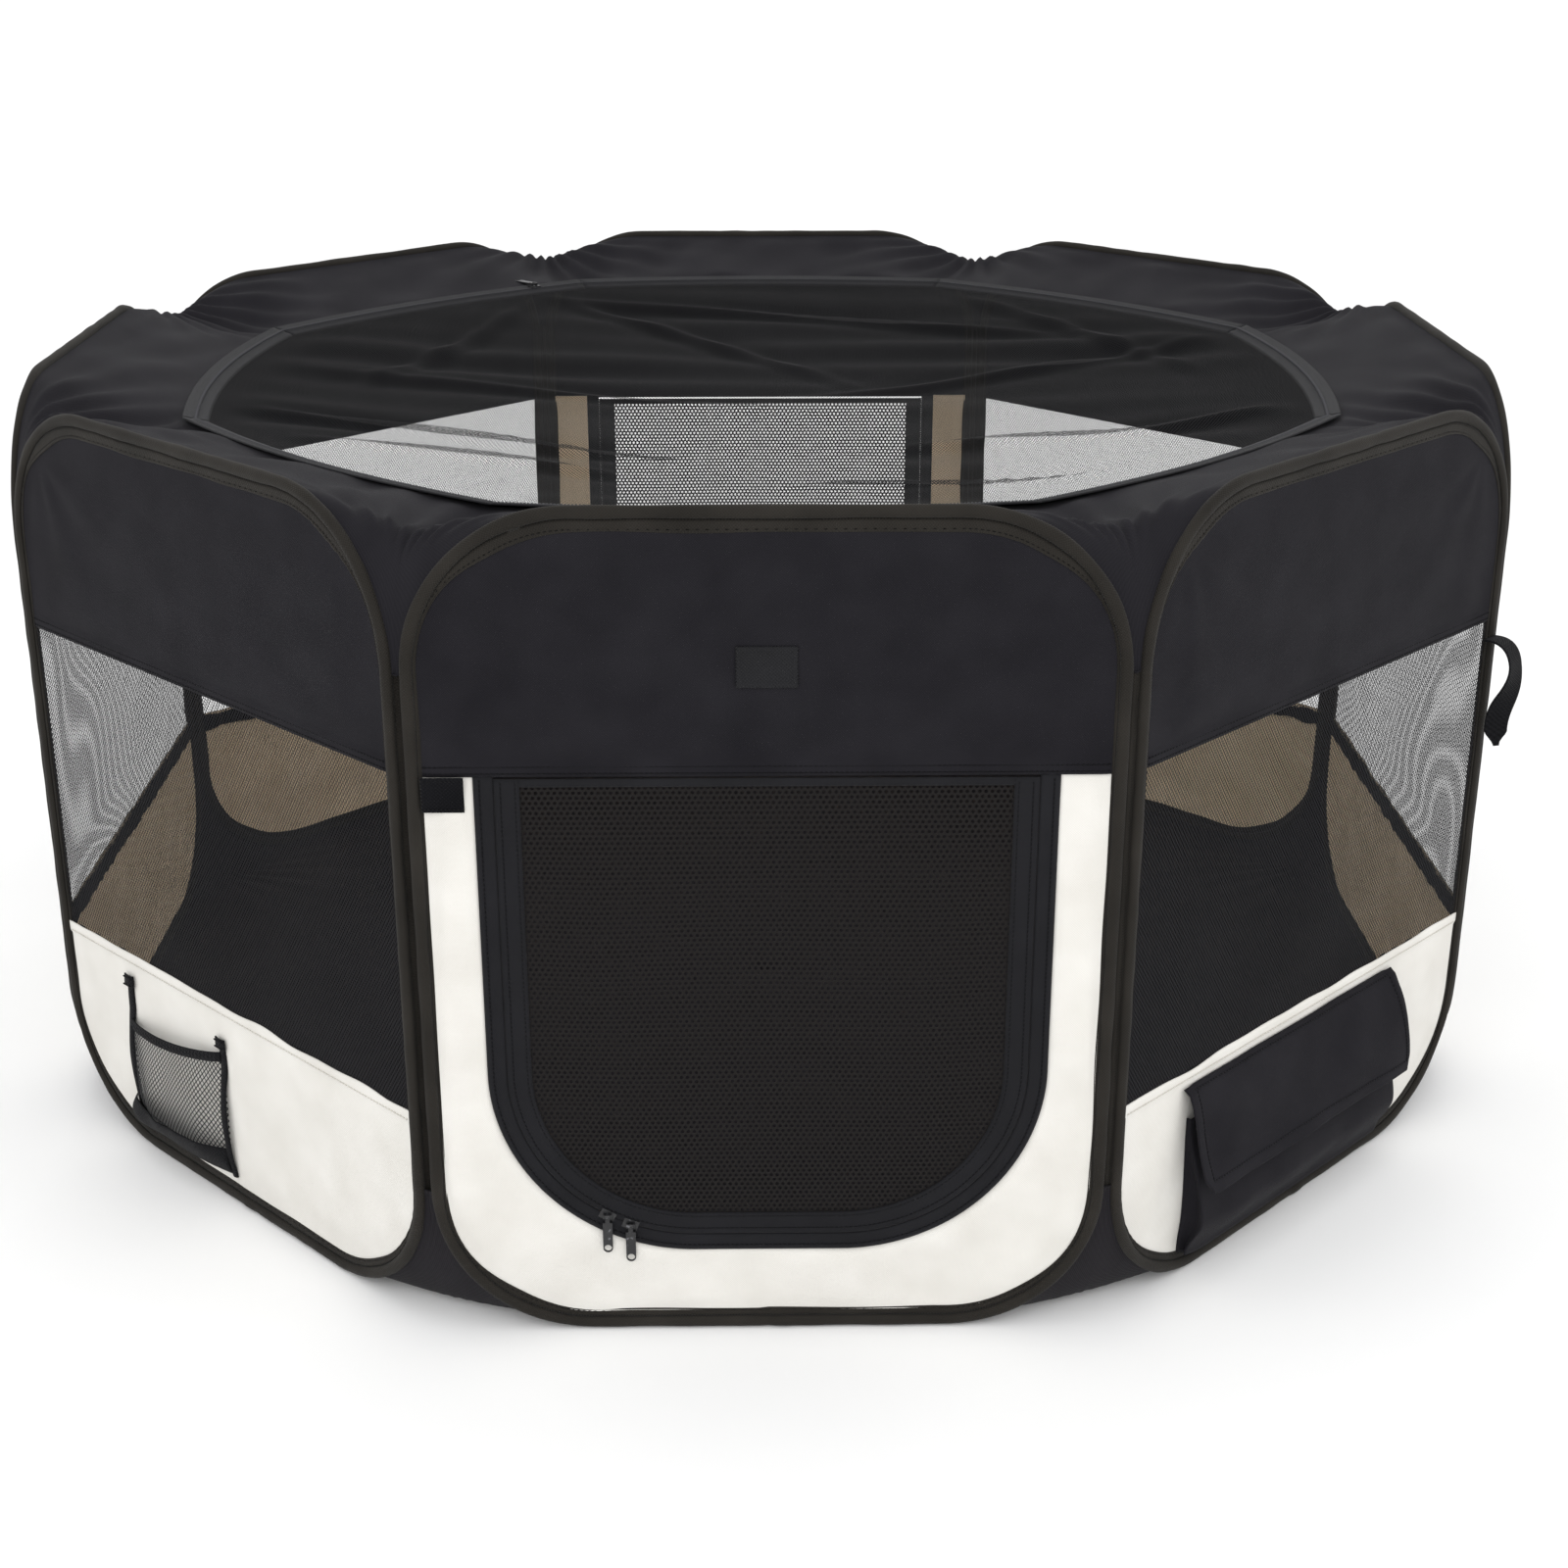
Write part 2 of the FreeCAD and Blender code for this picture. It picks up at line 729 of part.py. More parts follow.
# ---------------------------------------------------------------- the whole pen
for side in sides:
    make_wire_hoop(side)
    make_binding(side)
    make_upper_band(side)
    if side in door_sides:
        make_door_surround(side)
        make_door_zip(side)
        make_door_leaf(side)
        make_door_sliders(side)
    else:
        make_window(side)
        make_lower_band(side)
make_roof()
make_floor()
make_pockets()
make_strap()
make_patches()

doc.recompute()

faults = [o.Name for o in doc.Objects if {"Invalid", "Error"} & set(o.State)]
if faults:
    raise RuntimeError("these objects failed: " + ", ".join(faults))
for name, thing in nodes.items():
    if thing.Shape.isNull() or not thing.Shape.isValid() or not thing.Shape.Solids:
        raise RuntimeError("this sub-part has no sound solid: " + name)
    thing.Shape.exportStep(f"parts/{name}.step")
    print(name, round(thing.Shape.Volume), [round(v) for v in thing.Shape.BoundBox.Center])
print(len(nodes), "sub-parts written")
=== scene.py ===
import json
import math

import bmesh
import bpy
import numpy as np
from mathutils import Matrix, Vector


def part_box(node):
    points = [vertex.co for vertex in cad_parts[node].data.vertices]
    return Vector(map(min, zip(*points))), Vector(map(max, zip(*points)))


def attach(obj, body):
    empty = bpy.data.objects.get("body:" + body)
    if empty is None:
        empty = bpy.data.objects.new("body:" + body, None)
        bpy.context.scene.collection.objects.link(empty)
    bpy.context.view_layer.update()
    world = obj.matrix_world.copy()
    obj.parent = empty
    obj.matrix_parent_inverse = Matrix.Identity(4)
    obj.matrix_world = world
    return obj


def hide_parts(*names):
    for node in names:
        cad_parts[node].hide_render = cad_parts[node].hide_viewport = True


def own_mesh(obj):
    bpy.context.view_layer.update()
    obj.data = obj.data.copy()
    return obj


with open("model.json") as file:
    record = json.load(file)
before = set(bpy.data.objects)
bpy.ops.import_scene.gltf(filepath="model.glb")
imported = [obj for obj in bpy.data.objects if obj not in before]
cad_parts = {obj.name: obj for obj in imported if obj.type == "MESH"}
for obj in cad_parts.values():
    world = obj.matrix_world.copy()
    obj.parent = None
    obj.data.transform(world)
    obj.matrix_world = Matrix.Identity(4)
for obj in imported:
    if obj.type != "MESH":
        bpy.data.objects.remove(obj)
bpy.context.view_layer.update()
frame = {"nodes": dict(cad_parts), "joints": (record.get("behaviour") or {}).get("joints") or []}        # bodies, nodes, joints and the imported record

print("frame loaded")

# camera: eye level a little above the pen, aimed at the front door; metres and degrees
cameraSet = {
    "lens": 54.1, "sensor": 36, "distance": 2.32, "elevation": 21.5, "turn": -0.76, "aimX": 0.02,
    "aimZ": 0.204,
}


def makeCamera():
    tilt = math.radians(cameraSet["elevation"])
    turn = math.radians(cameraSet["turn"])
    back = Vector((math.sin(turn) * math.cos(tilt), -math.cos(turn) * math.cos(tilt), math.sin(tilt)))
    aim = Vector((cameraSet["aimX"], 0, cameraSet["aimZ"]))
    data = bpy.data.cameras.new("camera")
    data.lens = cameraSet["lens"]
    data.sensor_width = cameraSet["sensor"]
    camera = bpy.data.objects.new("camera", data)
    camera.location = aim + back * cameraSet["distance"]
    camera.rotation_mode = "QUATERNION"
    camera.rotation_quaternion = (-back).to_track_quat("-Z", "Y")
    bpy.context.scene.collection.objects.link(camera)
    bpy.context.scene.camera = camera


makeCamera()

# sizes read off the frame, in metres
sides = ["front", "front_right", "right", "back_right", "back", "back_left", "left", "front_left"]
doorSides = ["front", "back"]
jointPlace = {j["name"]: Vector(j["pos_m"]) for j in frame["joints"]}
hoopLow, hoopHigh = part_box("front_wire_hoop")
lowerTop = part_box("right_lower_band")[1].z
zipLow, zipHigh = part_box("front_door_zip")
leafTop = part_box("front_door_leaf")[1].z
wireRadius = (hoopHigh.y - hoopLow.y) / 2
ringApothem = -(hoopHigh.y + hoopLow.y) / 2
legPlace = hoopHigh.x - wireRadius
wireLow = hoopLow.z + wireRadius
wireHigh = hoopHigh.z - wireRadius
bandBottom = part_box("front_upper_band")[0].z
doorHalf = zipHigh.x
doorBottom = zipLow.z
octagonTan = math.tan(math.pi / 8)
cornerSide = ringApothem * octagonTan       # where the middle planes of two panels meet
seamInset = ringApothem + jointPlace["front_right_corner"].y
endInset = ringApothem + jointPlace["ring_fold"].y
hoopCorner = 0.115      # bend of the wire, at its middle
doorCorner = 0.150      # bend of the zip, at its tape's outer edge

# the cloth runs out under the binding tape as far as the sleeve
tuck = 0.003
clothSide = legPlace - tuck
clothLow = wireLow + tuck
clothHigh = wireHigh - tuck
clothCorner = hoopCorner - tuck


# helpers that place and build meshes
weldGap = {"cloth": 2e-5, "casting": 1e-6}    # points nearer than this become one


def ontoPanel(side, x, y, z):
    # panel frame to pen frame: push out to the ring, then turn 45 degrees a side about Z
    turn = math.radians(45 * sides.index(side))
    x, out, z = np.broadcast_arrays(x, y - ringApothem, z)
    flatX = x * math.cos(turn) - out * math.sin(turn)
    flatY = x * math.sin(turn) + out * math.cos(turn)
    return np.stack([flatX, flatY, z], -1)


def gridPatch(points, along, across, paint=0, loopU=False, loopV=False):
    # one quad per cell of a grid of points; along and across are the cloth's own metres
    rows, cols = points.shape[:2]
    i, j = np.meshgrid(np.arange(rows - 1 + loopU), np.arange(cols - 1 + loopV), indexing="ij")
    nextI, nextJ = (i + 1) % rows, (j + 1) % cols
    faces = np.stack([i * cols + j, nextI * cols + j, nextI * cols + nextJ, i * cols + nextJ], -1)
    along, across = np.broadcast_arrays(along, across)
    corners = [(i, j), (i + 1, j), (i + 1, j + 1), (i, j + 1)]
    uv = np.stack([np.stack([along[a, b], across[a, b]], -1) for a, b in corners], -2)
    return points.reshape(-1, 3), faces.reshape(-1, 4), uv.reshape(-1, 2), paint


def stitchPatch(centres, ways, lifts, length, width, paint):
    # each stitch is a long eight-sided bead: two tips along the seam and a square waist
    count = len(centres)
    cross = np.cross(ways, lifts)
    tips = [centres - ways * length / 2, centres + ways * length / 2]
    waist = [centres + cross * width / 2, centres + lifts * width / 2]
    waist += [centres - cross * width / 2, centres - lifts * width / 2]
    points = np.stack(tips + waist, 1).reshape(-1, 3)
    pattern = [(0, 3, 2), (0, 4, 3), (0, 5, 4), (0, 2, 5), (1, 2, 3), (1, 3, 4), (1, 4, 5), (1, 5, 2)]
    faces = (np.arange(count) * 6)[:, None, None] + np.array(pattern)[None]
    faces = faces.reshape(-1, 3)
    return points, faces, np.zeros((faces.size, 2)), paint


def mergePoints(mesh, gap):
    work = bmesh.new()
    work.from_mesh(mesh)
    bmesh.ops.remove_doubles(work, verts=work.verts, dist=gap)
    work.to_mesh(mesh)
    work.free()


def buildPiece(name, patches, paints, body, thick=0.0, inside=0, stands=(), weld=False):
    points, faces, uvs, paintIndex, start = [], [], [], [], 0
    for patchPoints, patchFaces, patchUv, paint in patches:
        points.append(patchPoints)
        faces += (patchFaces + start).tolist()
        uvs.append(patchUv)
        paintIndex += [paint] * len(patchFaces)
        start += len(patchPoints)
    mesh = bpy.data.meshes.new(name)
    mesh.from_pydata(np.concatenate(points).tolist(), [], faces)
    layer = mesh.uv_layers.new(name="cloth")
    layer.data.foreach_set("uv", np.concatenate(uvs).astype(np.float32).ravel())
    mesh.polygons.foreach_set("material_index", np.array(paintIndex, np.int32))
    mesh.polygons.foreach_set("use_smooth", np.full(len(mesh.polygons), True))
    for paint in paints:
        mesh.materials.append(paint)
    mesh.update()
    if weld:
        mergePoints(mesh, weldGap["cloth"])     # a grid that shrinks to a point keeps one vertex there
    piece = bpy.data.objects.new(name, mesh)
    bpy.context.scene.collection.objects.link(piece)
    if thick:
        solid = piece.modifiers.new("cloth", "SOLIDIFY")
        solid.thickness = thick
        solid.offset = 0
        solid.material_offset = inside
    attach(piece, body)
    if stands:
        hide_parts(*stands)
    return piece


def repaint(node, name):
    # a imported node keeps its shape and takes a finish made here
    frame["nodes"][node].data.materials.clear()
    frame["nodes"][node].data.materials.append(paint[name])


def waves(x, z, seed, shortest, longest, count=7):
    # sum of plane sine waves with random headings, lengths and phases, scaled to about -1..1
    random = np.random.default_rng(seed)
    total = 0
    for _ in range(count):
        heading, phase = random.uniform(0, 2 * math.pi, 2)
        length = random.uniform(shortest, longest)
        turns = (x * math.cos(heading) + z * math.sin(heading)) / length
        total = total + np.sin(2 * math.pi * turns + phase)
    return total / math.sqrt(count)


def ease(value, low, high):
    # 0 below low, 1 above high, smooth between
    t = np.clip((value - low) / (high - low), 0, 1)
    return t * t * (3 - 2 * t)


def fanFolds(x, z, fromX, fromZ, spokes, reach, phase, start=0.03):
    # folds that spread from a point: a sine of the bearing, strongest a little way out
    away = np.hypot(x - fromX, z - fromZ)
    bearing = np.arctan2(z - fromZ, x - fromX)
    return np.sin(spokes * bearing + phase) * np.exp(-(away / reach) ** 2) * away / (away + start)


# materials
def linear(hexColour):
    # sRGB hex to linear, by the usual piecewise curve
    channels = [int(hexColour[i : i + 2], 16) / 255 for i in (1, 3, 5)]
    curved = [c / 12.92 if c <= 0.04045 else ((c + 0.055) / 1.055) ** 2.4 for c in channels]
    return (*curved, 1.0)


def addNode(tree, kind, inputs=None, **settings):
    node = tree.nodes.new(kind)
    for name, value in settings.items():
        setattr(node, name, value)
    for name, value in (inputs or {}).items():
        if isinstance(value, bpy.types.NodeSocket):
            tree.links.new(value, node.inputs[name])
        else:
            node.inputs[name].default_value = value
    return node


def newMaterial(name):
    material = bpy.data.materials.new(name)
    material.use_nodes = True
    tree = material.node_tree
    tree.nodes.clear()
    return material, tree


def clothMillimetres(tree):
    # the piece's own cloth metres, as millimetres along and across
    cloth = addNode(tree, "ShaderNodeUVMap", uv_map="cloth")
    perMetre = (1000, 1000, 1000)
    scaled = addNode(tree, "ShaderNodeVectorMath", {0: cloth.outputs[0], 1: perMetre}, operation="MULTIPLY")
    split = addNode(tree, "ShaderNodeSeparateXYZ", {0: scaled.outputs[0]})
    return scaled.outputs[0], split.outputs[0], split.outputs[1]


def mathOf(tree, operation, first, second=0.0):
    return addNode(tree, "ShaderNodeMath", {0: first, 1: second}, operation=operation).outputs[0]


def noiseOf(tree, place, scale, detail):
    return addNode(tree, "ShaderNodeTexNoise", {"Vector": place, "Scale": scale, "Detail": detail})


def rampOf(tree, share, dark, light, low=0.0, high=1.0):
    # dark below low, light above high, in sRGB hex
    ramp = addNode(tree, "ShaderNodeValToRGB", {0: share})
    for element, place, colour in zip(ramp.color_ramp.elements, (low, high), (dark, light)):
        element.position = place
        element.color = linear(colour)
    return ramp


# scales are per millimetre of cloth, bumpDeep is in metres, the rest are shares of one
weaveSet = {
    "slubScale": 0.35, "cloudScale": 0.018, "weaveTone": 0.16, "cloudTone": 0.9, "toneLift": 0.05,
    "rampLow": 0.15, "rampHigh": 0.85, "bumpDeep": 0.0004, "slubRough": 0.12, "sheenRough": 0.4,
}
knitSet = {
    "fibreScale": 1.6, "bump": 0.4, "bumpDeep": 0.0004, "rough": 0.75, "sheen": 0.03, "shine": 0.12,
}


def wovenCloth(name, look):
    # plain-woven coated polyester: yarns over and under, faint slubs, soft sheen at a glance
    material, tree = newMaterial(name)
    place, along, across = clothMillimetres(tree)
    yarn = math.pi / look["yarn"]
    warp = mathOf(tree, "SINE", mathOf(tree, "MULTIPLY", along, yarn))
    weft = mathOf(tree, "SINE", mathOf(tree, "MULTIPLY", across, yarn))
    weave = mathOf(tree, "MULTIPLY", warp, weft)
    slub = noiseOf(tree, place, weaveSet["slubScale"], 3.0)
    cloud = noiseOf(tree, place, weaveSet["cloudScale"], 2.0)
    height = mathOf(tree, "ADD", weave, mathOf(tree, "MULTIPLY", slub.outputs[0], look["slub"]))
    woven = mathOf(tree, "MULTIPLY", weave, weaveSet["weaveTone"])
    clouded = mathOf(tree, "MULTIPLY", cloud.outputs[0], weaveSet["cloudTone"])
    tone = mathOf(tree, "ADD", mathOf(tree, "ADD", woven, clouded), weaveSet["toneLift"])
    ramp = rampOf(tree, tone, look["dark"], look["light"], weaveSet["rampLow"], weaveSet["rampHigh"])
    dents = {"Height": height, "Strength": look["bump"], "Distance": weaveSet["bumpDeep"]}
    bump = addNode(tree, "ShaderNodeBump", dents)
    slubRough = mathOf(tree, "MULTIPLY", slub.outputs[0], weaveSet["slubRough"])
    shader = addNode(tree, "ShaderNodeBsdfPrincipled", {
        "Base Color": ramp.outputs[0],
        "Roughness": mathOf(tree, "ADD", slubRough, look["rough"]),
        "Normal": bump.outputs[0],
        "Sheen Weight": look["sheen"],
        "Sheen Roughness": weaveSet["sheenRough"],
        "Specular IOR Level": look["shine"],
    })
    addNode(tree, "ShaderNodeOutputMaterial", {0: shader.outputs[0]})
    return material


def openNet(name, look):
    # knitted polyester net: the yarn is solid and the holes between are open
    material, tree = newMaterial(name)
    place, along, across = clothMillimetres(tree)
    if look["holes"] == "diamond":
        # two families of slanting yarns; a yarn is where the saw-tooth is near its middle
        yarns = []
        for lean in (-1, 1):
            slanted = mathOf(tree, "ADD", mathOf(tree, "MULTIPLY", along, lean * look["lean"]), across)
            turns = mathOf(tree, "DIVIDE", slanted, look["pitch"])
            saw = mathOf(tree, "ABSOLUTE", mathOf(tree, "SUBTRACT", mathOf(tree, "FRACT", turns), 0.5))
            yarns.append(saw)
        middle = mathOf(tree, "MINIMUM", yarns[0], yarns[1])
        # the yarn is round, so at a slant it covers more of the holes beside it
        slant = addNode(tree, "ShaderNodeLayerWeight", {"Blend": 0.5}).outputs["Facing"]
        squared = mathOf(tree, "POWER", slant, 2.0)
        cover = mathOf(tree, "ADD", mathOf(tree, "MULTIPLY", squared, look["slant"]), 1.0)
        solid = mathOf(tree, "LESS_THAN", middle, mathOf(tree, "MULTIPLY", cover, look["yarnShare"] / 2))
    else:
        # round holes on a staggered grid: near either of two shifted lattices is a hole
        gaps = []
        for shift in (0.0, 0.5):
            parts = []
            for axis, step in ((along, look["pitch"]), (across, look["pitch"] * math.sqrt(3))):
                turns = mathOf(tree, "ADD", mathOf(tree, "DIVIDE", axis, step), shift)
                off = mathOf(tree, "SUBTRACT", mathOf(tree, "FRACT", turns), 0.5)
                parts.append(mathOf(tree, "POWER", mathOf(tree, "MULTIPLY", off, step), 2.0))
            gaps.append(mathOf(tree, "SQRT", mathOf(tree, "ADD", parts[0], parts[1])))
        nearest = mathOf(tree, "MINIMUM", gaps[0], gaps[1])
        solid = mathOf(tree, "GREATER_THAN", nearest, look["holeRadius"])
    fibre = noiseOf(tree, place, knitSet["fibreScale"], 2.0)
    ramp = rampOf(tree, fibre.outputs[0], look["dark"], look["light"])
    dents = {"Height": fibre.outputs[0], "Strength": knitSet["bump"], "Distance": knitSet["bumpDeep"]}
    yarn = addNode(tree, "ShaderNodeBsdfPrincipled", {
        "Base Color": ramp.outputs[0],
        "Roughness": knitSet["rough"],
        "Normal": addNode(tree, "ShaderNodeBump", dents).outputs[0],
        "Sheen Weight": knitSet["sheen"],
        "Specular IOR Level": knitSet["shine"],
    })
    clear = addNode(tree, "ShaderNodeBsdfTransparent")
    mixed = addNode(tree, "ShaderNodeMixShader", {0: solid, 1: clear.outputs[0], 2: yarn.outputs[0]})
    addNode(tree, "ShaderNodeOutputMaterial", {0: mixed.outputs[0]})
    return material


def enamelledZinc(name, look):
    # die-cast zinc under thin black enamel: smooth and dark, with a few small chips down to bare metal
    material, tree = newMaterial(name)
    spot = addNode(tree, "ShaderNodeTexCoord").outputs["Object"]
    grain = noiseOf(tree, spot, look["grain"], 3.0)
    patches = noiseOf(tree, spot, look["patches"], 4.0)
    chips = addNode(tree, "ShaderNodeValToRGB", {0: patches.outputs[0]})
    chips.color_ramp.elements[0].position = look["chipLow"]
    chips.color_ramp.elements[1].position = look["chipHigh"]
    colours = {0: chips.outputs[0], 6: linear(look["enamel"]), 7: linear(look["bare"])}
    dents = {"Height": grain.outputs[0], "Strength": look["bump"], "Distance": look["bumpDeep"]}
    shader = addNode(tree, "ShaderNodeBsdfPrincipled", {
        "Base Color": addNode(tree, "ShaderNodeMix", colours, data_type="RGBA").outputs[2],
        "Metallic": chips.outputs[0],
        "Roughness": look["rough"],
        "Normal": addNode(tree, "ShaderNodeBump", dents).outputs[0],
    })
    addNode(tree, "ShaderNodeOutputMaterial", {0: shader.outputs[0]})
    return material


def drawnSteel(name, look):
    # oiled spring-steel wire: bright drawn metal with fine lengthwise grain
    material, tree = newMaterial(name)
    spot = addNode(tree, "ShaderNodeTexCoord").outputs["Object"]
    grain = noiseOf(tree, spot, look["grain"], 4.0)
    ramp = rampOf(tree, grain.outputs[0], look["dark"], look["light"])
    inputs = {"Base Color": ramp.outputs[0], "Roughness": look["rough"], "Metallic": 1.0}
    shader = addNode(tree, "ShaderNodeBsdfPrincipled", inputs)
    addNode(tree, "ShaderNodeOutputMaterial", {0: shader.outputs[0]})
    return material


# yarn is the drawn thread spacing in millimetres: real 600D yarn is near 0.5, drawn coarser to show
clothLooks = {
    # 600D oxford, dyed black: near black with a faint cool cast, dull, barely any sheen
    "blackOxford": {
        "dark": "#17161a", "light": "#242327", "yarn": 0.9, "slub": 0.6,
        "bump": 0.35, "rough": 0.68, "sheen": 0.02, "shine": 0.07,
    },
    # grosgrain binding tape: warm black, its ribs catch a little light
    "bindingTwill": {
        "dark": "#1b1916", "light": "#2f2c28", "yarn": 1.1, "slub": 0.8,
        "bump": 0.5, "rough": 0.66, "sheen": 0.05, "shine": 0.12,
    },
    # the same oxford in off-white: soft and even, with a pale grey shade in the folds
    "paleOxford": {
        "dark": "#d3d0c9", "light": "#e7e5e0", "yarn": 0.9, "slub": 0.5,
        "bump": 0.22, "rough": 0.68, "sheen": 0.05, "shine": 0.2,
    },
    # polyurethane coating on the back of the pale cloth: warm tan and flat; drawn much lighter than the
    # coating itself, as painted light standing in for the daylight that comes through the thin pale cloth
    # onto the inside
    "tanLiningPaintedLight": {
        "dark": "#e2caa8", "light": "#f8e2c6", "yarn": 0.9, "slub": 0.7,
        "bump": 0.4, "rough": 0.75, "sheen": 0.1, "shine": 0.15,
    },
    # heavier waterproof oxford: black, a little smoother than the bands
    "floorOxford": {
        "dark": "#161417", "light": "#222024", "yarn": 1.2, "slub": 0.8,
        "bump": 0.4, "rough": 0.7, "sheen": 0.03, "shine": 0.12,
    },
    # woven zip tape: fine, dense and blue-black
    "zipTape": {
        "dark": "#111114", "light": "#1c1c20", "yarn": 0.7, "slub": 0.5,
        "bump": 0.5, "rough": 0.6, "sheen": 0.04, "shine": 0.15,
    },
    # nylon coil: dark grey, the one glossy line on the cloth
    "zipCoil": {
        "dark": "#232327", "light": "#3a3a3f", "yarn": 0.8, "slub": 0.3,
        "bump": 0.3, "rough": 0.42, "sheen": 0.0, "shine": 0.4,
    },
    # thick woven webbing: deep ribs, almost no light back
    "webbing": {
        "dark": "#0c0c0e", "light": "#18181b", "yarn": 1.6, "slub": 0.4,
        "bump": 0.9, "rough": 0.62, "sheen": 0.03, "shine": 0.1,
    },
    # bonded sewing thread, black
    "blackThread": {
        "dark": "#08080a", "light": "#111114", "yarn": 0.6, "slub": 0.4,
        "bump": 0.3, "rough": 0.5, "sheen": 0.0, "shine": 0.15,
    },
    # bonded sewing thread, off-white
    "paleThread": {
        "dark": "#c9c5bc", "light": "#dedbd3", "yarn": 0.6, "slub": 0.4,
        "bump": 0.3, "rough": 0.6, "sheen": 0.05, "shine": 0.2,
    },
    # hook-and-loop and knitted tape: rough, swallows light
    "hookTape": {
        "dark": "#0a0a0c", "light": "#1a1a1d", "yarn": 1.4, "slub": 1.4,
        "bump": 1.0, "rough": 0.85, "sheen": 0.05, "shine": 0.05,
    },
    # damask-woven label: close black rows with a slight gloss
    "wovenLabel": {
        "dark": "#0a0a0c", "light": "#19191d", "yarn": 1.3, "slub": 0.2,
        "bump": 0.8, "rough": 0.5, "sheen": 0.03, "shine": 0.2,
    },
}
# pitch is in millimetres between yarns or holes; real window netting is near 2, drawn coarser to show
netLooks = {
    # warp-knitted polyester net, open: grey and clear face on, darker at a slant
    "windowNet": {
        "holes": "diamond", "pitch": 4.6, "lean": 1.45, "yarnShare": 0.155,
        "slant": 2.3, "dark": "#0f0f11", "light": "#222226",
    },
    # the same net, slack and denser to the eye
    "roofNet": {
        "holes": "diamond", "pitch": 4.0, "lean": 1.45, "yarnShare": 0.19,
        "slant": 0.3, "dark": "#08080a", "light": "#131316",
    },
    # punched-looking knitted net with round holes: dark with small bright dots
    "doorNet": {
        "holes": "round", "pitch": 4.4, "holeRadius": 1.35, "dark": "#100f0f",
        "light": "#1f1c1b",
    },
    # coarse diamond net, soft: its yarns read one by one
    "pocketNet": {
        "holes": "diamond", "pitch": 6.0, "lean": 1.3, "yarnShare": 0.25,
        "slant": 0.5, "dark": "#0f0f11", "light": "#212124",
    },
}
paint = {name: wovenCloth(name, look) for name, look in clothLooks.items()}
paint.update({name: openNet(name, look) for name, look in netLooks.items()})
# grain and patches are noise scales per metre
paint["enamelledZinc"] = enamelledZinc("enamelledZinc", {
    "enamel": "#1b1b1d", "bare": "#77777b", "grain": 900.0, "patches": 260.0,
    "chipLow": 0.62, "chipHigh": 0.68, "bump": 0.1, "bumpDeep": 0.0002, "rough": 0.36,
})
paint["springSteel"] = drawnSteel("springSteel", {
    "dark": "#6b6b6e", "light": "#9b9b9f", "grain": 700.0, "rough": 0.35,
})
print("materials made")


def hoopLine():
    # rectangle with round corners, from the middle of its lower run anticlockwise; returns
    # places, outward normals, lengths from the start, and how far into a corner each point is
    turnX, turnLow, turnHigh = legPlace - hoopCorner, wireLow + hoopCorner, wireHigh - hoopCorner
    runSteps, legSteps, arcSteps = 20, 60, 40

    def line(startX, startZ, endX, endZ, normal, steps):
        t = np.arange(steps) / steps
        x, z = startX + (endX - startX) * t, startZ + (endZ - startZ) * t
        return np.stack([x, z, np.full(steps, normal[0]), np.full(steps, normal[1]), np.zeros(steps)], 1)

    def bend(centreX, centreZ, startAngle):
        t = np.arange(arcSteps) / arcSteps
        angle = math.radians(startAngle) + t * math.pi / 2
        across, up = np.cos(angle), np.sin(angle)
        corner = np.sin(t * math.pi)
        return np.stack([centreX + hoopCorner * across, centreZ + hoopCorner * up, across, up, corner], 1)

    rows = np.concatenate(
        [
            line(0, wireLow, turnX, wireLow, (0, -1), runSteps),
            bend(turnX, turnLow, -90),
            line(legPlace, turnLow, legPlace, turnHigh, (1, 0), legSteps),
            bend(turnX, turnHigh, 0),
            line(turnX, wireHigh, -turnX, wireHigh, (0, 1), runSteps * 2),
            bend(-turnX, turnHigh, 90),
            line(-legPlace, turnHigh, -legPlace, turnLow, (-1, 0), legSteps),
            bend(-turnX, turnLow, 180),
            line(-turnX, wireLow, 0, wireLow, (0, -1), runSteps),
        ]
    )
    places, normals, corner = rows[:, 0:2], rows[:, 2:4], rows[:, 4]
    steps = np.linalg.norm(np.roll(places, -1, 0) - places, axis=1)
    lengths = np.concatenate([[0], np.cumsum(steps)])
    return places, normals, lengths, corner


# bindings, in metres
bindingSet = {
    "sleeve": 0.0048, "flat": 0.0042, "tape": 0.0010, "topReach": 0.0145, "lowReach": 0.0115,
    "legReach": 0.0068, "seamIn": 0.0022, "pucker": 0.0009, "pleatStep": 0.0095, "stitchStep": 0.0042,
    "stitchLong": 0.0028, "stitchWide": 0.0008, "roll": 0.0030, "lapStart": 0.005, "lapEnd": 0.020,
    "lapFat": 0.25, "uneven": 0.05, "waver": 0.0005, "neck": 0.93, "ground": 0.0002, "webStart": 0.35,
    "webHalf": 0.0007, "webWide": 0.006, "rollTip": 0.01, "rollDents": 520, "dentDeep": 0.06,
}


def seamPlace(side, hand):
    # where the seam to the next panel lies, in the panel's own frame: along it and inwards
    ends = ["front_left", "back_right"] if hand > 0 else ["front", "back"]
    inset = endInset if side in ends else seamInset
    return (ringApothem - inset) * octagonTan, inset


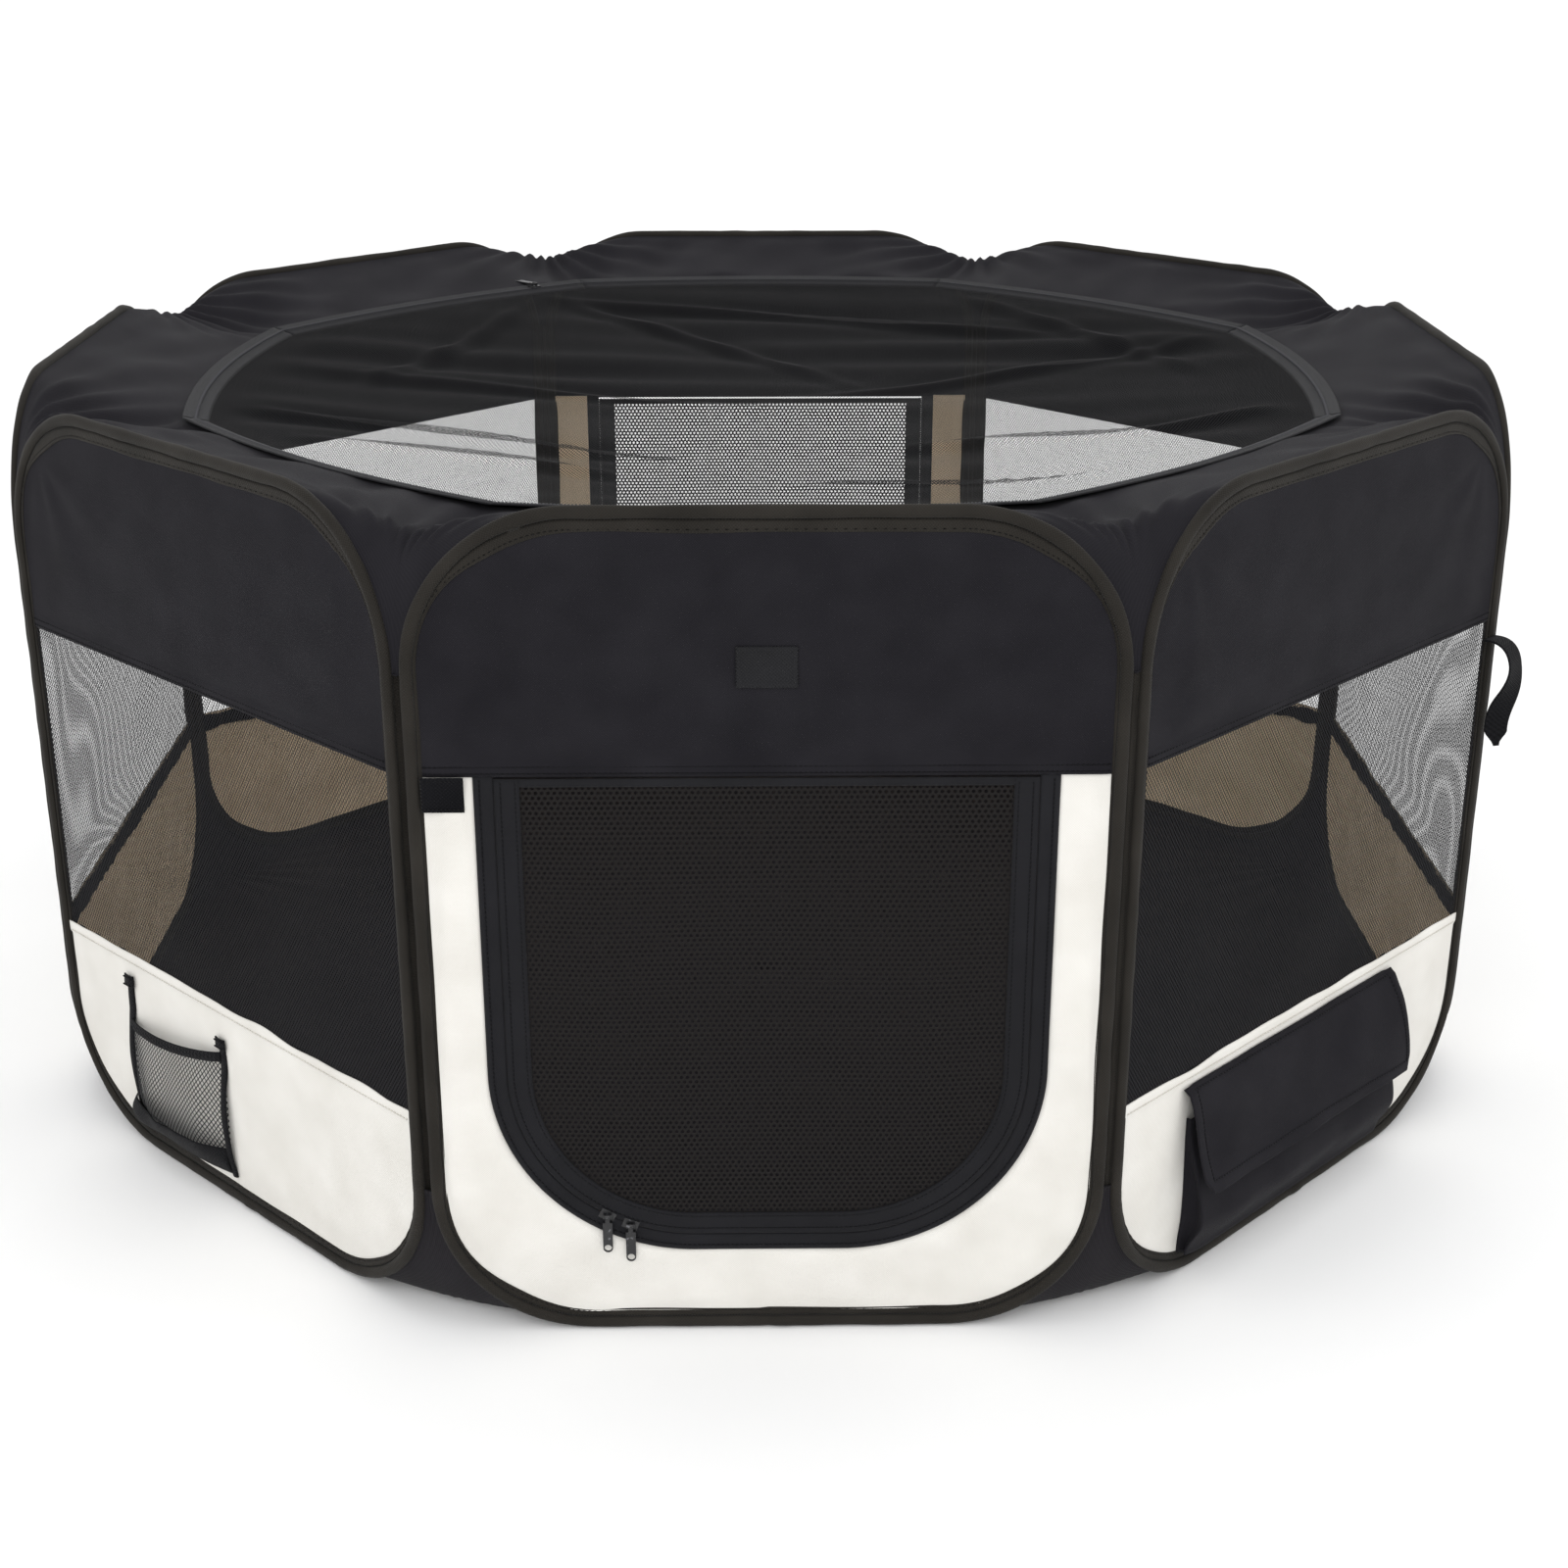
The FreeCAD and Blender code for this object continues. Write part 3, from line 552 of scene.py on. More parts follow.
def makeBinding(side, seed):
    # cross-section: an oval sleeve over the wire and a flat doubled tape inwards, dented along
    # the stitching; in the corners the tape puckers into small pleats
    places, normals, lengths, corner = hoopLine()
    count = len(places)
    run = lengths[:-1, None]
    tape, seam, flat = bindingSet["tape"], bindingSet["seamIn"], bindingSet["flat"]
    onTop = ease(places[:, 1:2], wireHigh - hoopCorner, wireHigh - 0.02)
    onLeg = ease(np.abs(normals[:, 0:1]), 0.5, 0.98)
    reach = bindingSet["lowReach"] + (bindingSet["topReach"] - bindingSet["lowReach"]) * onTop
    reach = reach + (bindingSet["legReach"] - reach) * onLeg
    fat = 1 + bindingSet["uneven"] * waves(run, 0 * run, seed + 50, 0.02, 0.09)
    wide, flat = bindingSet["sleeve"] * fat, flat * fat
    # flat part: share of the way from the sewn edge to the sleeve's neck, and its half thickness
    share = np.array([0, 0.12, 0.24, 0.4, 0.7, 1.0])[None]
    depth = np.array([0.8, 1.0, 0.5, 1.05, 1.0, 1.0])[None] * tape
    neck = bindingSet["neck"]
    tapeAway = -reach + (reach - wide * neck) * share
    angle = np.linspace(math.pi * neck, -math.pi * neck, 17)[None]
    a = np.concatenate([tapeAway, wide * np.cos(angle), tapeAway[:, ::-1]], 1)
    b = np.concatenate([depth + 0 * run, flat * np.sin(angle), -depth[:, ::-1] + 0 * run], 1)
    rim = np.array([1, 0.8, 0.5, 0.2, 0, 0])
    edge = np.concatenate([rim, np.zeros(17), rim[::-1]])[None]
    outwards = np.concatenate([rim, np.zeros(17), -rim[::-1]])[None]
    waver = waves(run, 0 * run, seed, 0.03, 0.16) * bindingSet["waver"]
    wander = 2 * np.sin(run * 61)     # keeps the pleats from being even
    pleat = np.abs(np.sin(run * math.pi / bindingSet["pleatStep"] + wander)) * corner[:, None]
    # the tape's two ends overlap a little past the middle of the lower run
    lapStart, lapEnd = bindingSet["lapStart"], bindingSet["lapEnd"]
    lap = ease(run, lapStart - 0.001, lapStart) * (1 - ease(run, lapEnd - 0.001, lapEnd))
    a = a + edge * waver
    b = b * (1 + bindingSet["lapFat"] * lap) + outwards * pleat * bindingSet["pucker"]
    x = places[:, 0:1] + normals[:, 0:1] * a
    z = np.maximum(places[:, 1:2] + normals[:, 1:2] * a, bindingSet["ground"])
    around = np.concatenate([[0], np.cumsum(np.hypot(np.diff(a[0]), np.diff(b[0])))])
    around = np.append(around, around[-1] + 2 * tape)[None] + 0 * lengths[:, None]
    points = ontoPanel(side, x, b, z)
    patches = [gridPatch(points, lengths[:, None] + 0 * around, around, 0, True, True)]

    # stitches along both faces of the tape
    spots = np.arange(0, lengths[-1], bindingSet["stitchStep"])
    at = np.interp(spots, lengths[:-1], np.arange(count)).astype(int)
    across, up = normals[at, 0], normals[at, 1]
    inwards = seam - reach[at, 0]     # a little inside the tape's sewn edge
    ways = ontoPanel(side, -up, ringApothem + 0 * up, across)
    for face in (-1, 1):
        lifts = ontoPanel(side, 0 * up, ringApothem + face + 0 * up, 0 * up)
        high = face * (pleat[at, 0] * bindingSet["pucker"] * 0.5 + tape * 0.75)
        spot = ontoPanel(side, places[at, 0] + across * inwards, high, places[at, 1] + up * inwards)
        long, wide = bindingSet["stitchLong"], bindingSet["stitchWide"]
        patches.append(stitchPatch(spot, ways, lifts, long, wide, 1))

    # half of each corner seam: a web from the sleeve to the seam's axis, on both legs
    level = np.linspace(wireLow + hoopCorner * 0.9, wireHigh - hoopCorner * 0.9, 60)[:, None]
    for hand in (-1, 1):
        seamSide, inset = seamPlace(side, hand)
        share = np.linspace(bindingSet["webStart"], 1, 4)[None]
        webX = hand * (legPlace + (seamSide - legPlace) * share)
        for shift in (-bindingSet["webHalf"], bindingSet["webHalf"]):
            shiftedX, webY = webX - hand * shift, inset * share + shift
            points = ontoPanel(side, shiftedX + 0 * level, webY, level + 0 * share)
            across = share * bindingSet["webWide"] + 0 * level
            patches.append(gridPatch(points, level + 0 * share, across))

    # the rolled seam itself, round its axis, closing to points at both ends
    seamSide, inset = seamPlace(side, 1)
    roll = np.linspace(0, 2 * math.pi, 12, endpoint=False)[None]
    tips = np.minimum(level - level[0], level[-1] - level) / bindingSet["rollTip"]
    dents = 1 - bindingSet["dentDeep"] * np.abs(np.sin(level * bindingSet["rollDents"]))
    fatness = bindingSet["roll"] * np.sqrt(np.clip(tips, 0.02, 1)) * dents
    rollX, rollY = seamSide + fatness * np.cos(roll), inset + fatness * np.sin(roll)
    points = ontoPanel(side, rollX, rollY, level + 0 * roll)
    turns = np.linspace(0, 2 * math.pi * bindingSet["roll"], 13)[None]
    patches.append(gridPatch(points, level + 0 * turns, turns + 0 * level, 0, False, True))
    buildPiece(
        side + "_binding_tape", patches, [paint["bindingTwill"], paint["blackThread"]],
        side + "_panel", stands=[side + "_binding"],
    )
    repaint(side + "_wire_hoop", "springSteel")


for index, side in enumerate(sides):
    makeBinding(side, 100 + index)
print("bindings made")


# cloth inside the hoops, in metres
clothSet = {
    "thick": 0.0009, "swell": 0.0020, "crease": 0.0009, "hem": 0.009, "stitchStep": 0.0036,
    "stitchLong": 0.0026, "stitchWide": 0.0007, "netTape": 0.016, "hemRise": 0.0010, "rowEnd": 0.006,
    "topWave": 0.0012, "lowerSwell": 0.0018, "lowerRipple": 0.0008, "lowerFan": 0.0009,
}


def roundedEdge(x, edge, towards):
    # height of a rounded rectangle's top (towards = 1) or bottom (-1) edge at each x
    over = np.clip(np.abs(x) - (clothSide - clothCorner), 0, clothCorner)
    return edge + towards * (np.sqrt(np.maximum(clothCorner**2 - over**2, 0)) - clothCorner)


def seamRow(side, x, z, lift, paintIndex=1, long=None, wide=None, across=False):
    # a row of stitches on the outside of a panel, each along the row or across it
    wayX, wayZ = np.gradient(x), np.gradient(z)
    pace = np.hypot(wayX, wayZ)
    wayX, wayZ = wayX / pace, wayZ / pace
    if across:
        wayX, wayZ = -wayZ, wayX
    ways = ontoPanel(side, wayX, ringApothem + 0 * x, wayZ)
    lifts = ontoPanel(side, 0 * x, ringApothem - 1 + 0 * x, 0 * x)
    long, wide = long or clothSet["stitchLong"], wide or clothSet["stitchWide"]
    return stitchPatch(ontoPanel(side, x, lift + 0 * x, z), ways, lifts, long, wide, paintIndex)


def seamSpots():
    # places of the stitches in a hem from side to side
    last = clothSide - clothSet["rowEnd"]
    return np.arange(-last, last + 0.001, clothSet["stitchStep"])


def bandRelief(x, z, seed, strength):
    # taut cloth: one low swell, folds that fan in from the upper corners, and fine creasing
    top = roundedEdge(x, clothHigh, 1)
    fromSide = ease(clothSide - np.abs(x), 0.007, 0.06)
    middle = fromSide * ease(z - bandBottom, 0.0, 0.03) * ease(top - z, 0.010, 0.05)
    random = np.random.default_rng(seed)
    turns = random.uniform(0, 6, 4)
    fans = 0
    for hand, turn, reach in ((-1, turns[0], 0.19), (1, turns[1], 0.15)):
        fanX, fanZ = hand * (clothSide - clothCorner * 0.35), clothHigh - clothCorner * 0.30
        fans = fans + fanFolds(x, z, fanX, fanZ, 9, reach, turn) * random.uniform(0.4, 1.2)
        lowFan = fanFolds(x, z, hand * clothSide, bandBottom, 11, reach * 0.7, turn * 2)
        fans = fans + lowFan * random.uniform(0.2, 0.7)
    crumple = np.abs(waves(x * 0.6, z, seed + 1, 0.04, 0.13)) - 0.6
    return -middle * (clothSet["swell"] + strength * (fans * 0.0016 + crumple * clothSet["crease"] * 0.5))


def makeUpperBand(side, seed, strength):
    s, t = np.meshgrid(np.linspace(-1, 1, 141), np.linspace(0, 1, 61), indexing="ij")
    x = s * clothSide
    top = roundedEdge(x, clothHigh, 1)
    z = bandBottom + t * (top - bandBottom)
    y = bandRelief(x, z, seed, strength)
    # the lower hem is folded double, so it stands proud by a cloth's thickness
    hem = 1 - ease(z - bandBottom, clothSet["hem"], clothSet["hem"] + 0.0015)
    y = y - clothSet["hemRise"] * hem * ease(clothSide - np.abs(x), 0.002, 0.009)
    patches = [gridPatch(ontoPanel(side, x, y, z), x, z)]
    row = seamSpots()
    for level in (0.0022, clothSet["hem"] - 0.0018):
        patches.append(seamRow(side, row, bandBottom + level + 0 * row, -0.0016 + 0 * row))
    piece = buildPiece(
        side + "_band_cloth", patches, [paint["blackOxford"], paint["blackThread"]],
        side + "_panel", clothSet["thick"], stands=[side + "_upper_band"],
    )


def makeWindow(side, seed):
    # a single knitted layer, stretched, that bows in and out by a few millimetres
    s, t = np.meshgrid(np.linspace(-1, 1, 61), np.linspace(0, 1, 41), indexing="ij")
    x = s * clothSide
    low, high = lowerTop - 0.006, bandBottom + 0.003
    z = low + t * (high - low)
    middle = ease(clothSide - np.abs(x), 0, 0.08) * ease(z - low, 0, 0.05) * ease(high - z, 0, 0.05)
    y = -middle * (0.0012 + 0.0014 * waves(x, z, seed, 0.12, 0.4))
    piece = buildPiece(
        side + "_window_net", [gridPatch(ontoPanel(side, x, y, z), x, z)], [paint["windowNet"]],
        side + "_panel", stands=[side + "_window_mesh"],
    )


def lowerRelief(x, z, seed):
    bottom = roundedEdge(x, clothLow, -1)
    fromSide = ease(clothSide - np.abs(x), 0.006, 0.05)
    middle = fromSide * ease(z - bottom, 0.008, 0.04) * ease(lowerTop - z, 0, 0.04)
    fan = fanFolds(x, z, clothSide, clothLow + 0.03, 9, 0.1, seed)
    ripples = waves(x, z, seed, 0.05, 0.22) * clothSet["lowerRipple"] + fan * clothSet["lowerFan"]
    return -middle * (clothSet["lowerSwell"] + ripples)


def bandSurface(side, x, z):
    # the same relief again, for what is sewn onto this side's pale band
    return lowerRelief(x, z, lowerSeeds[side])


def makeLowerBand(side, seed):
    # pale cloth, lined in tan that is lightened with painted light from outside, with a round bottom and a
    # doubled top hem that waves a little
    s, t = np.meshgrid(np.linspace(-1, 1, 121), np.linspace(0, 1, 49), indexing="ij")
    x = s * clothSide
    bottom = roundedEdge(x, clothLow, -1)
    wavy = waves(x, 0 * x, seed + 3, 0.05, 0.16) * ease(clothSide - np.abs(x), 0.004, 0.04)
    top = lowerTop + clothSet["topWave"] * wavy
    z = bottom + t * (top - bottom)
    y = lowerRelief(x, z, seed) - 0.0008 * ease(z - lowerTop, -0.011, -0.0095)
    patches = [gridPatch(ontoPanel(side, x, y, z), x, z)]
    row = seamSpots()
    patches.append(seamRow(side, row, lowerTop - 0.0078 + 0 * row, -0.0019 + 0 * row))
    piece = buildPiece(
        side + "_lower_cloth", patches,
        [paint["paleOxford"], paint["paleThread"], paint["tanLiningPaintedLight"], paint["paleThread"]],
        side + "_panel", clothSet["thick"], inside=2, stands=[side + "_lower_band"],
    )
    # inside, a dark knitted tape covers the seam of net and cloth
    s, t = np.meshgrid(np.linspace(-1, 1, 121), np.linspace(0, 1, 7), indexing="ij")
    x = -s * clothSide
    ragged = 0.0012 * waves(x, 0 * x, seed + 9, 0.012, 0.05)
    z = lowerTop - 0.0025 - (1 - t) * clothSet["netTape"] + ragged * (2 * t - 1)
    y = 0.0017 + 0.0005 * waves(x, z, seed + 12, 0.01, 0.03)
    tape = buildPiece(
        side + "_inner_seam_tape", [gridPatch(ontoPanel(side, x, y, z), x, z)], [paint["hookTape"]],
        side + "_panel", clothSet["thick"],
    )


lowerSeeds = {side: 400 + 7 * index for index, side in enumerate(sides)}
wrinkleStrength = {"front": 1.3, "front_right": 0.7, "front_left": 0.7}
for index, side in enumerate(sides):
    makeUpperBand(side, 200 + 7 * index, wrinkleStrength.get(side, 0.9))
    if side not in doorSides:
        makeWindow(side, 300 + 7 * index)
        makeLowerBand(side, lowerSeeds[side])
print("panel cloth made")

# doors, in metres
doorSet = {
    "zipIn": 0.013, "netIn": 0.031, "teethStep": 0.0022, "teethLong": 0.0030, "teethWide": 0.0015,
    "teethRise": -0.0004, "topHem": 0.006, "gap": 0.0003, "tapeThick": 0.0008, "swell": 0.0017,
    "ripple": 0.0012, "netSwell": 0.0022, "netRipple": 0.0016,
}


def wideU(half, low, radius, top, legSteps=60, arcSteps=40, runSteps=24):
    # down a leg, round, along the bottom, round and up; always the same count of points
    centreX, centreZ = half - radius, low + radius
    leg = np.linspace(top, centreZ, legSteps, endpoint=False)
    firstBend = np.linspace(math.pi, 1.5 * math.pi, arcSteps, endpoint=False)
    run = np.linspace(-centreX, centreX, runSteps, endpoint=False)
    lastBend = np.linspace(-0.5 * math.pi, 0, arcSteps, endpoint=False)
    lastLeg = np.linspace(centreZ, top, legSteps)
    x = np.concatenate([np.full(legSteps, -half), -centreX + radius * np.cos(firstBend), run,
                        centreX + radius * np.cos(lastBend), np.full(legSteps, half)])
    z = np.concatenate([leg, centreZ + radius * np.sin(firstBend), np.full(runSteps, low),
                        centreZ + radius * np.sin(lastBend), lastLeg])
    return x, z


def doorLine(inset, top):
    # the door's U, this far in from the zip tape's outer edge
    return wideU(doorHalf - inset, doorBottom + inset, doorCorner - inset, top)


def lengthAlong(x, z):
    return np.concatenate([[0], np.cumsum(np.hypot(np.diff(x), np.diff(z)))])


def doorStitches(side, inset, top, lift):
    x, z = doorLine(inset, top)
    run, step = lengthAlong(x, z), clothSet["stitchStep"]
    spots = np.arange(step, run[-1] - step, step)
    return seamRow(side, np.interp(spots, run, x), np.interp(spots, run, z), lift)


def doorTeeth(side, inset, top):
    x, z = doorLine(inset, top)
    run, step = lengthAlong(x, z), doorSet["teethStep"]
    spots = np.arange(step, run[-1] - step, step)
    x, z = np.interp(spots, run, x), np.interp(spots, run, z)
    return seamRow(side, x, z, doorSet["teethRise"], 2, doorSet["teethLong"], doorSet["teethWide"], True)


def strip(side, insets, top, reliefs):
    # a band of cloth between doorLines at several insets, each with its own depth
    lines = [doorLine(inset, top) for inset in insets]
    x = np.stack([line[0] for line in lines], 1)
    z = np.stack([line[1] for line in lines], 1)
    run = lengthAlong(x[:, 0], z[:, 0])
    y = np.array(reliefs)[None] + 0 * x
    return gridPatch(ontoPanel(side, x, y, z), run[:, None] + 0 * x, np.array(insets)[None] + 0 * x)


def makeDoor(side, seed):
    # surround: ruled between the U and the hoop's outline, with shallow ripples
    under, top = 0.001, bandBottom + 0.002      # it runs in under the zip tape and the band
    outerX, outerZ = wideU(clothSide, clothLow, clothCorner, top)
    innerX, innerZ = doorLine(-under, top)
    t = np.linspace(0, 1, 15)[None]
    x = outerX[:, None] + (innerX - outerX)[:, None] * t
    z = outerZ[:, None] + (innerZ - outerZ)[:, None] * t
    width = np.hypot(innerX - outerX, innerZ - outerZ)[:, None]
    ripple = waves(x, z, seed, 0.04, 0.16) * doorSet["ripple"] + doorSet["swell"]
    belowHem = ease(bandBottom - z, 0.002, 0.022)
    middle = ease(width * t, 0.008, 0.022) * ease(width * (1 - t), 0, 0.010)
    y = 0.0006 * (1 - belowHem) - middle * ripple * belowHem
    patches = [gridPatch(ontoPanel(side, x, y, z), x, z)]
    # the inner face takes the tan lining, lightened with painted light that stands in for daylight through
    # the cloth
    surround = buildPiece(
        side + "_surround_cloth", patches, [paint["paleOxford"], paint["tanLiningPaintedLight"]],
        side + "_panel", clothSet["thick"], inside=1, stands=[side + "_door_surround"],
    )

    # the zip's outer tape, turned under at its sewn edge, with its stitches and teeth
    lip = doorSet["zipIn"] - doorSet["gap"]
    insets = [-0.001, 0.0, 0.0015, 0.0035, 0.0075, lip - 0.0012, lip]
    reliefs = [-0.0004, -0.0013, -0.0016, -0.0010, -0.0011, -0.0016, -0.0009]
    patches = [strip(side, insets, bandBottom, reliefs)]
    patches.append(doorStitches(side, 0.0032, bandBottom, -0.0017))
    patches.append(doorTeeth(side, lip - 0.0009, bandBottom))
    buildPiece(
        side + "_zip_outer_tape", patches, [paint["zipTape"], paint["blackThread"], paint["zipTape"]],
        side + "_panel", doorSet["tapeThick"], stands=[side + "_door_zip"],
    )

    # leaf: the zip's inner tape and a doubled hem, with the net behind them
    lip = doorSet["zipIn"] + doorSet["gap"]
    netIn = doorSet["netIn"]
    insets = [lip, lip + 0.0012, lip + 0.005, netIn - 0.004, netIn - 0.0012, netIn]
    reliefs = [-0.0009, -0.0016, -0.0011, -0.0011, -0.0015, -0.0006]
    patches = [strip(side, insets, leafTop, reliefs)]
    for inset in (lip + 0.0045, netIn - 0.0028):
        patches.append(doorStitches(side, inset, leafTop, -0.0016))
    patches.append(doorTeeth(side, lip + 0.0009, leafTop))
    half = doorHalf - netIn + under
    s, t = np.meshgrid(np.linspace(-1, 1, 41), np.linspace(0, 1, 6), indexing="ij")
    hemX = s * half
    hemZ = leafTop - doorSet["topHem"] * (1 - t)
    hemY = np.array([-0.0005, -0.0011, -0.0013, -0.0011, -0.0011, -0.0009])[None] + 0 * s
    patches.append(gridPatch(ontoPanel(side, hemX, hemY, hemZ), hemX, hemZ))
    buildPiece(
        side + "_door_tape", patches, [paint["zipTape"], paint["blackThread"], paint["zipTape"]],
        side + "_door", doorSet["tapeThick"],
    )
    s, t = np.meshgrid(np.linspace(-1, 1, 71), np.linspace(0, 1, 61), indexing="ij")
    netX = s * half
    over = np.clip(np.abs(netX) - (doorHalf - doorCorner), 0, None)
    radius = doorCorner - netIn + under
    low = doorBottom + doorCorner - np.sqrt(np.maximum(radius**2 - over**2, 0))
    netZ = low + t * (leafTop - 0.004 - low)
    middle = ease(half - np.abs(netX), 0, 0.07) * np.sin(np.clip(t, 0, 1) * math.pi)
    netY = -middle * (doorSet["netSwell"] + doorSet["netRipple"] * waves(netX, netZ, seed + 5, 0.14, 0.4))
    net = buildPiece(
        side + "_door_net", [gridPatch(ontoPanel(side, netX, netY, netZ), netX, netZ)],
        [paint["doorNet"]],
        side + "_door", stands=[side + "_door_leaf"],
    )
    width, length = 2 * half, leafTop - doorBottom - netIn


for index, side in enumerate(doorSides):
    makeDoor(side, 500 + 11 * index)
    for hand in ("left", "right"):
        for part in ("slider", "pull"):
            repaint(f"{side}_zip_{part}_{hand}", "enamelledZinc")
print("doors made")


# roof and floor, cut into one slice a side so that each folds away with its own panel
roofSet = {
    "edgeIn": 0.0010, "zipLevel": 0.612, "zipApothem": 0.490, "rounding": 0.5, "sag": 0.022,
    "fold": 0.0030, "tapeWide": 0.022, "tapeThick": 0.0006, "coilLong": 0.0048, "coilWide": 0.0017,
    "coilStep": 0.0026, "coilRise": 0.0024, "keep": 0.008, "foldPlane": 0.0035, "cornerSag": 0.016,
    "cornerReach": 0.055, "borderWide": 0.155, "ripple": 0.0024, "castingRise": 0.003,
}
floorSet = {"level": 0.0012, "fold": 0.0011, "lowest": 0.0007}
creases = [  # start, end, height and width of the sharp folds in the roof net, in metres
    ((-0.46, -0.13), (-0.05, -0.30), 0.015, 0.012),
    ((-0.40, -0.24), (-0.08, -0.36), 0.010, 0.012),
    ((-0.44, 0.05), (0.10, -0.10), 0.008, 0.014),
    ((-0.25, 0.42), (0.34, 0.22), 0.010, 0.013),
    ((-0.24, 0.43), (0.10, 0.02), 0.008, 0.012),
    ((-0.24, 0.43), (-0.38, -0.02), 0.008, 0.012),
    ((0.45, 0.18), (0.02, -0.02), 0.008, 0.014),
    ((0.46, -0.14), (0.10, -0.24), 0.011, 0.012),
    ((0.34, -0.34), (0.0, -0.40), 0.008, 0.010),
    ((0.20, 0.44), (0.42, 0.02), 0.008, 0.012),
]


def creaseHeight(x, y, bend=0.014):
    # each crease is a ridge with a bell-shaped section that dies out at its two ends
    total = 0
    for (x0, y0), (x1, y1), height, width in creases:
        length = math.hypot(x1 - x0, y1 - y0)
        along = ((x - x0) * (x1 - x0) + (y - y0) * (y1 - y0)) / length**2
        bow = bend * np.sin(math.pi * np.clip(along, 0, 1))
        away = ((x - x0) * (y1 - y0) - (y - y0) * (x1 - x0)) / length + bow
        ends = np.clip(np.sin(math.pi * np.clip(along, 0, 1)), 0, 1) ** 0.7
        section = np.exp(-((away / width) ** 2)) - 0.5 * np.exp(-((away / width / 2) ** 2))
        total = total + height * ends * section
    return total


def archRise(x, y):
    # how high a chord strung between two neighbouring hoops' round corners stands above the
    # start of the rounding; x runs along the panel and y inwards
    into = legPlace - np.abs(x) + y / math.tan(math.pi / 8)
    short = hoopCorner - np.clip(into, 0, hoopCorner)
    return np.sqrt(hoopCorner**2 - short**2)


def sliceGrid(outer, inner, columns, rows, pack):
    # a sector of the octagon: bearings crowd towards its two sides, rows towards its outer edge
    bearing = math.pi / 8 * np.sin(np.linspace(-math.pi / 2, math.pi / 2, columns))[:, None]
    share = (np.linspace(0, 1, rows) ** pack)[None]
    radius = outer(bearing) + (inner(bearing) - outer(bearing)) * share
    return radius * np.sin(bearing), ringApothem - radius * np.cos(bearing), share + 0 * bearing


def panelEdge(bearing):
    return (ringApothem - roofSet["edgeIn"]) / np.cos(bearing)


def zipLine(bearing):
    # the octagon's side, drawn part of the way towards a circle
    side = 1 / np.cos(bearing)
    return roofSet["zipApothem"] * ((1 - roofSet["rounding"]) * side + roofSet["rounding"] * 1.026)


def centreLine(bearing):
    return 0 * bearing


def cornerFolds(side, x, y, seed):
    # folds that fan from the slice's two corners, the same on both sides of a corner
    total = 0
    for step in (0, 1):
        corner = (sides.index(side) + step) % 8
        turn = math.radians(45 * corner - 112.5)
        reach = ringApothem / math.cos(math.pi / 8)
        phase = np.random.default_rng(seed + corner).uniform(0, 6)
        total = total + fanFolds(x, y, reach * math.cos(turn), reach * math.sin(turn), 23, 0.13, phase)
    return total


def squashToPanel(piece):
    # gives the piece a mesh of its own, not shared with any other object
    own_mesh(piece)


def makeRoofBorder(side):
    x, y, share = sliceGrid(panelEdge, zipLine, 81, 46, 1.7)
    flat = ontoPanel(side, x, y, 0 * x)
    calm = ease(y, 0.006, 0.03) * (1 - ease(share, 0.86, 0.97))
    folds = cornerFolds(side, flat[..., 0], flat[..., 1], 700) * 2.2
    folds = folds + waves(flat[..., 0], flat[..., 1], 701, 0.05, 0.2)
    z = wireHigh - hoopCorner + archRise(x, y) - (wireHigh - roofSet["zipLevel"]) * share ** 0.9
    # the cloth hangs slack between two hoops, most along the corner and a third of the way in
    fromCorner = (cornerSide - np.abs(x)) * math.cos(math.pi / 8) - y * math.sin(math.pi / 8)
    slack = np.exp(-((fromCorner / roofSet["cornerReach"]) ** 2))
    slack = slack * np.sin(math.pi * np.clip(share, 0, 1)) ** 0.8
    z = z - roofSet["cornerSag"] * slack
    points = ontoPanel(side, x, y, z + folds * calm * roofSet["fold"] * 0.7)
    piece = buildPiece(
        side + "_roof_border_cloth", [gridPatch(points, flat[..., 0], flat[..., 1])],
        [paint["blackOxford"]], side + "_panel", clothSet["thick"],
        stands=["roof_border"] if side == "front" else (),
    )
    squashToPanel(piece)


def makeRoofZip(side):
    # two tapes with a raised coil between them, following the zip line; the cross-section is
    # shares of the half width and heights in millimetres
    turns = [-1, -0.92, -0.86, -0.3, -0.14, -0.05, 0.05, 0.14, 0.3, 0.86, 0.92, 1]
    lifts = [0.4, 1.5, 1.8, 1.5, 2.4, 1.7, 1.7, 2.4, 1.5, 1.8, 1.5, 0.4]
    bearing = np.linspace(-math.pi / 8, math.pi / 8, 61)[:, None]
    half = roofSet["tapeWide"] / 2
    radius = zipLine(bearing) + half * np.array(turns)[None]
    x, y = radius * np.sin(bearing), ringApothem - radius * np.cos(bearing)
    run = bearing * roofSet["zipApothem"] + 0 * x
    z = roofSet["zipLevel"] + 0.001 * np.array(lifts)[None] + 0.0030 * np.array(turns)[None] + 0 * x
    patches = [gridPatch(ontoPanel(side, x, y, z), run, radius + 0 * x, 0)]
    # coil turns, each a bead across the tape
    spots = np.arange(-math.pi / 8, math.pi / 8, roofSet["coilStep"] / roofSet["zipApothem"])
    toothX = zipLine(spots) * np.sin(spots)
    toothY = ringApothem - zipLine(spots) * np.cos(spots)
    ways = ontoPanel(side, np.sin(spots), ringApothem - np.cos(spots), 0 * spots)
    lift = np.stack([0 * spots, 0 * spots, 1 + 0 * spots], -1)
    teeth = ontoPanel(side, toothX, toothY, roofSet["zipLevel"] + roofSet["coilRise"] + 0 * spots)
    patches.append(stitchPatch(teeth, ways, lift, roofSet["coilLong"], roofSet["coilWide"], 1))
    piece = buildPiece(
        side + "_roof_zip_tape", patches, [paint["zipTape"], paint["zipCoil"]],
        side + "_panel", roofSet["tapeThick"],
    )
    squashToPanel(piece)


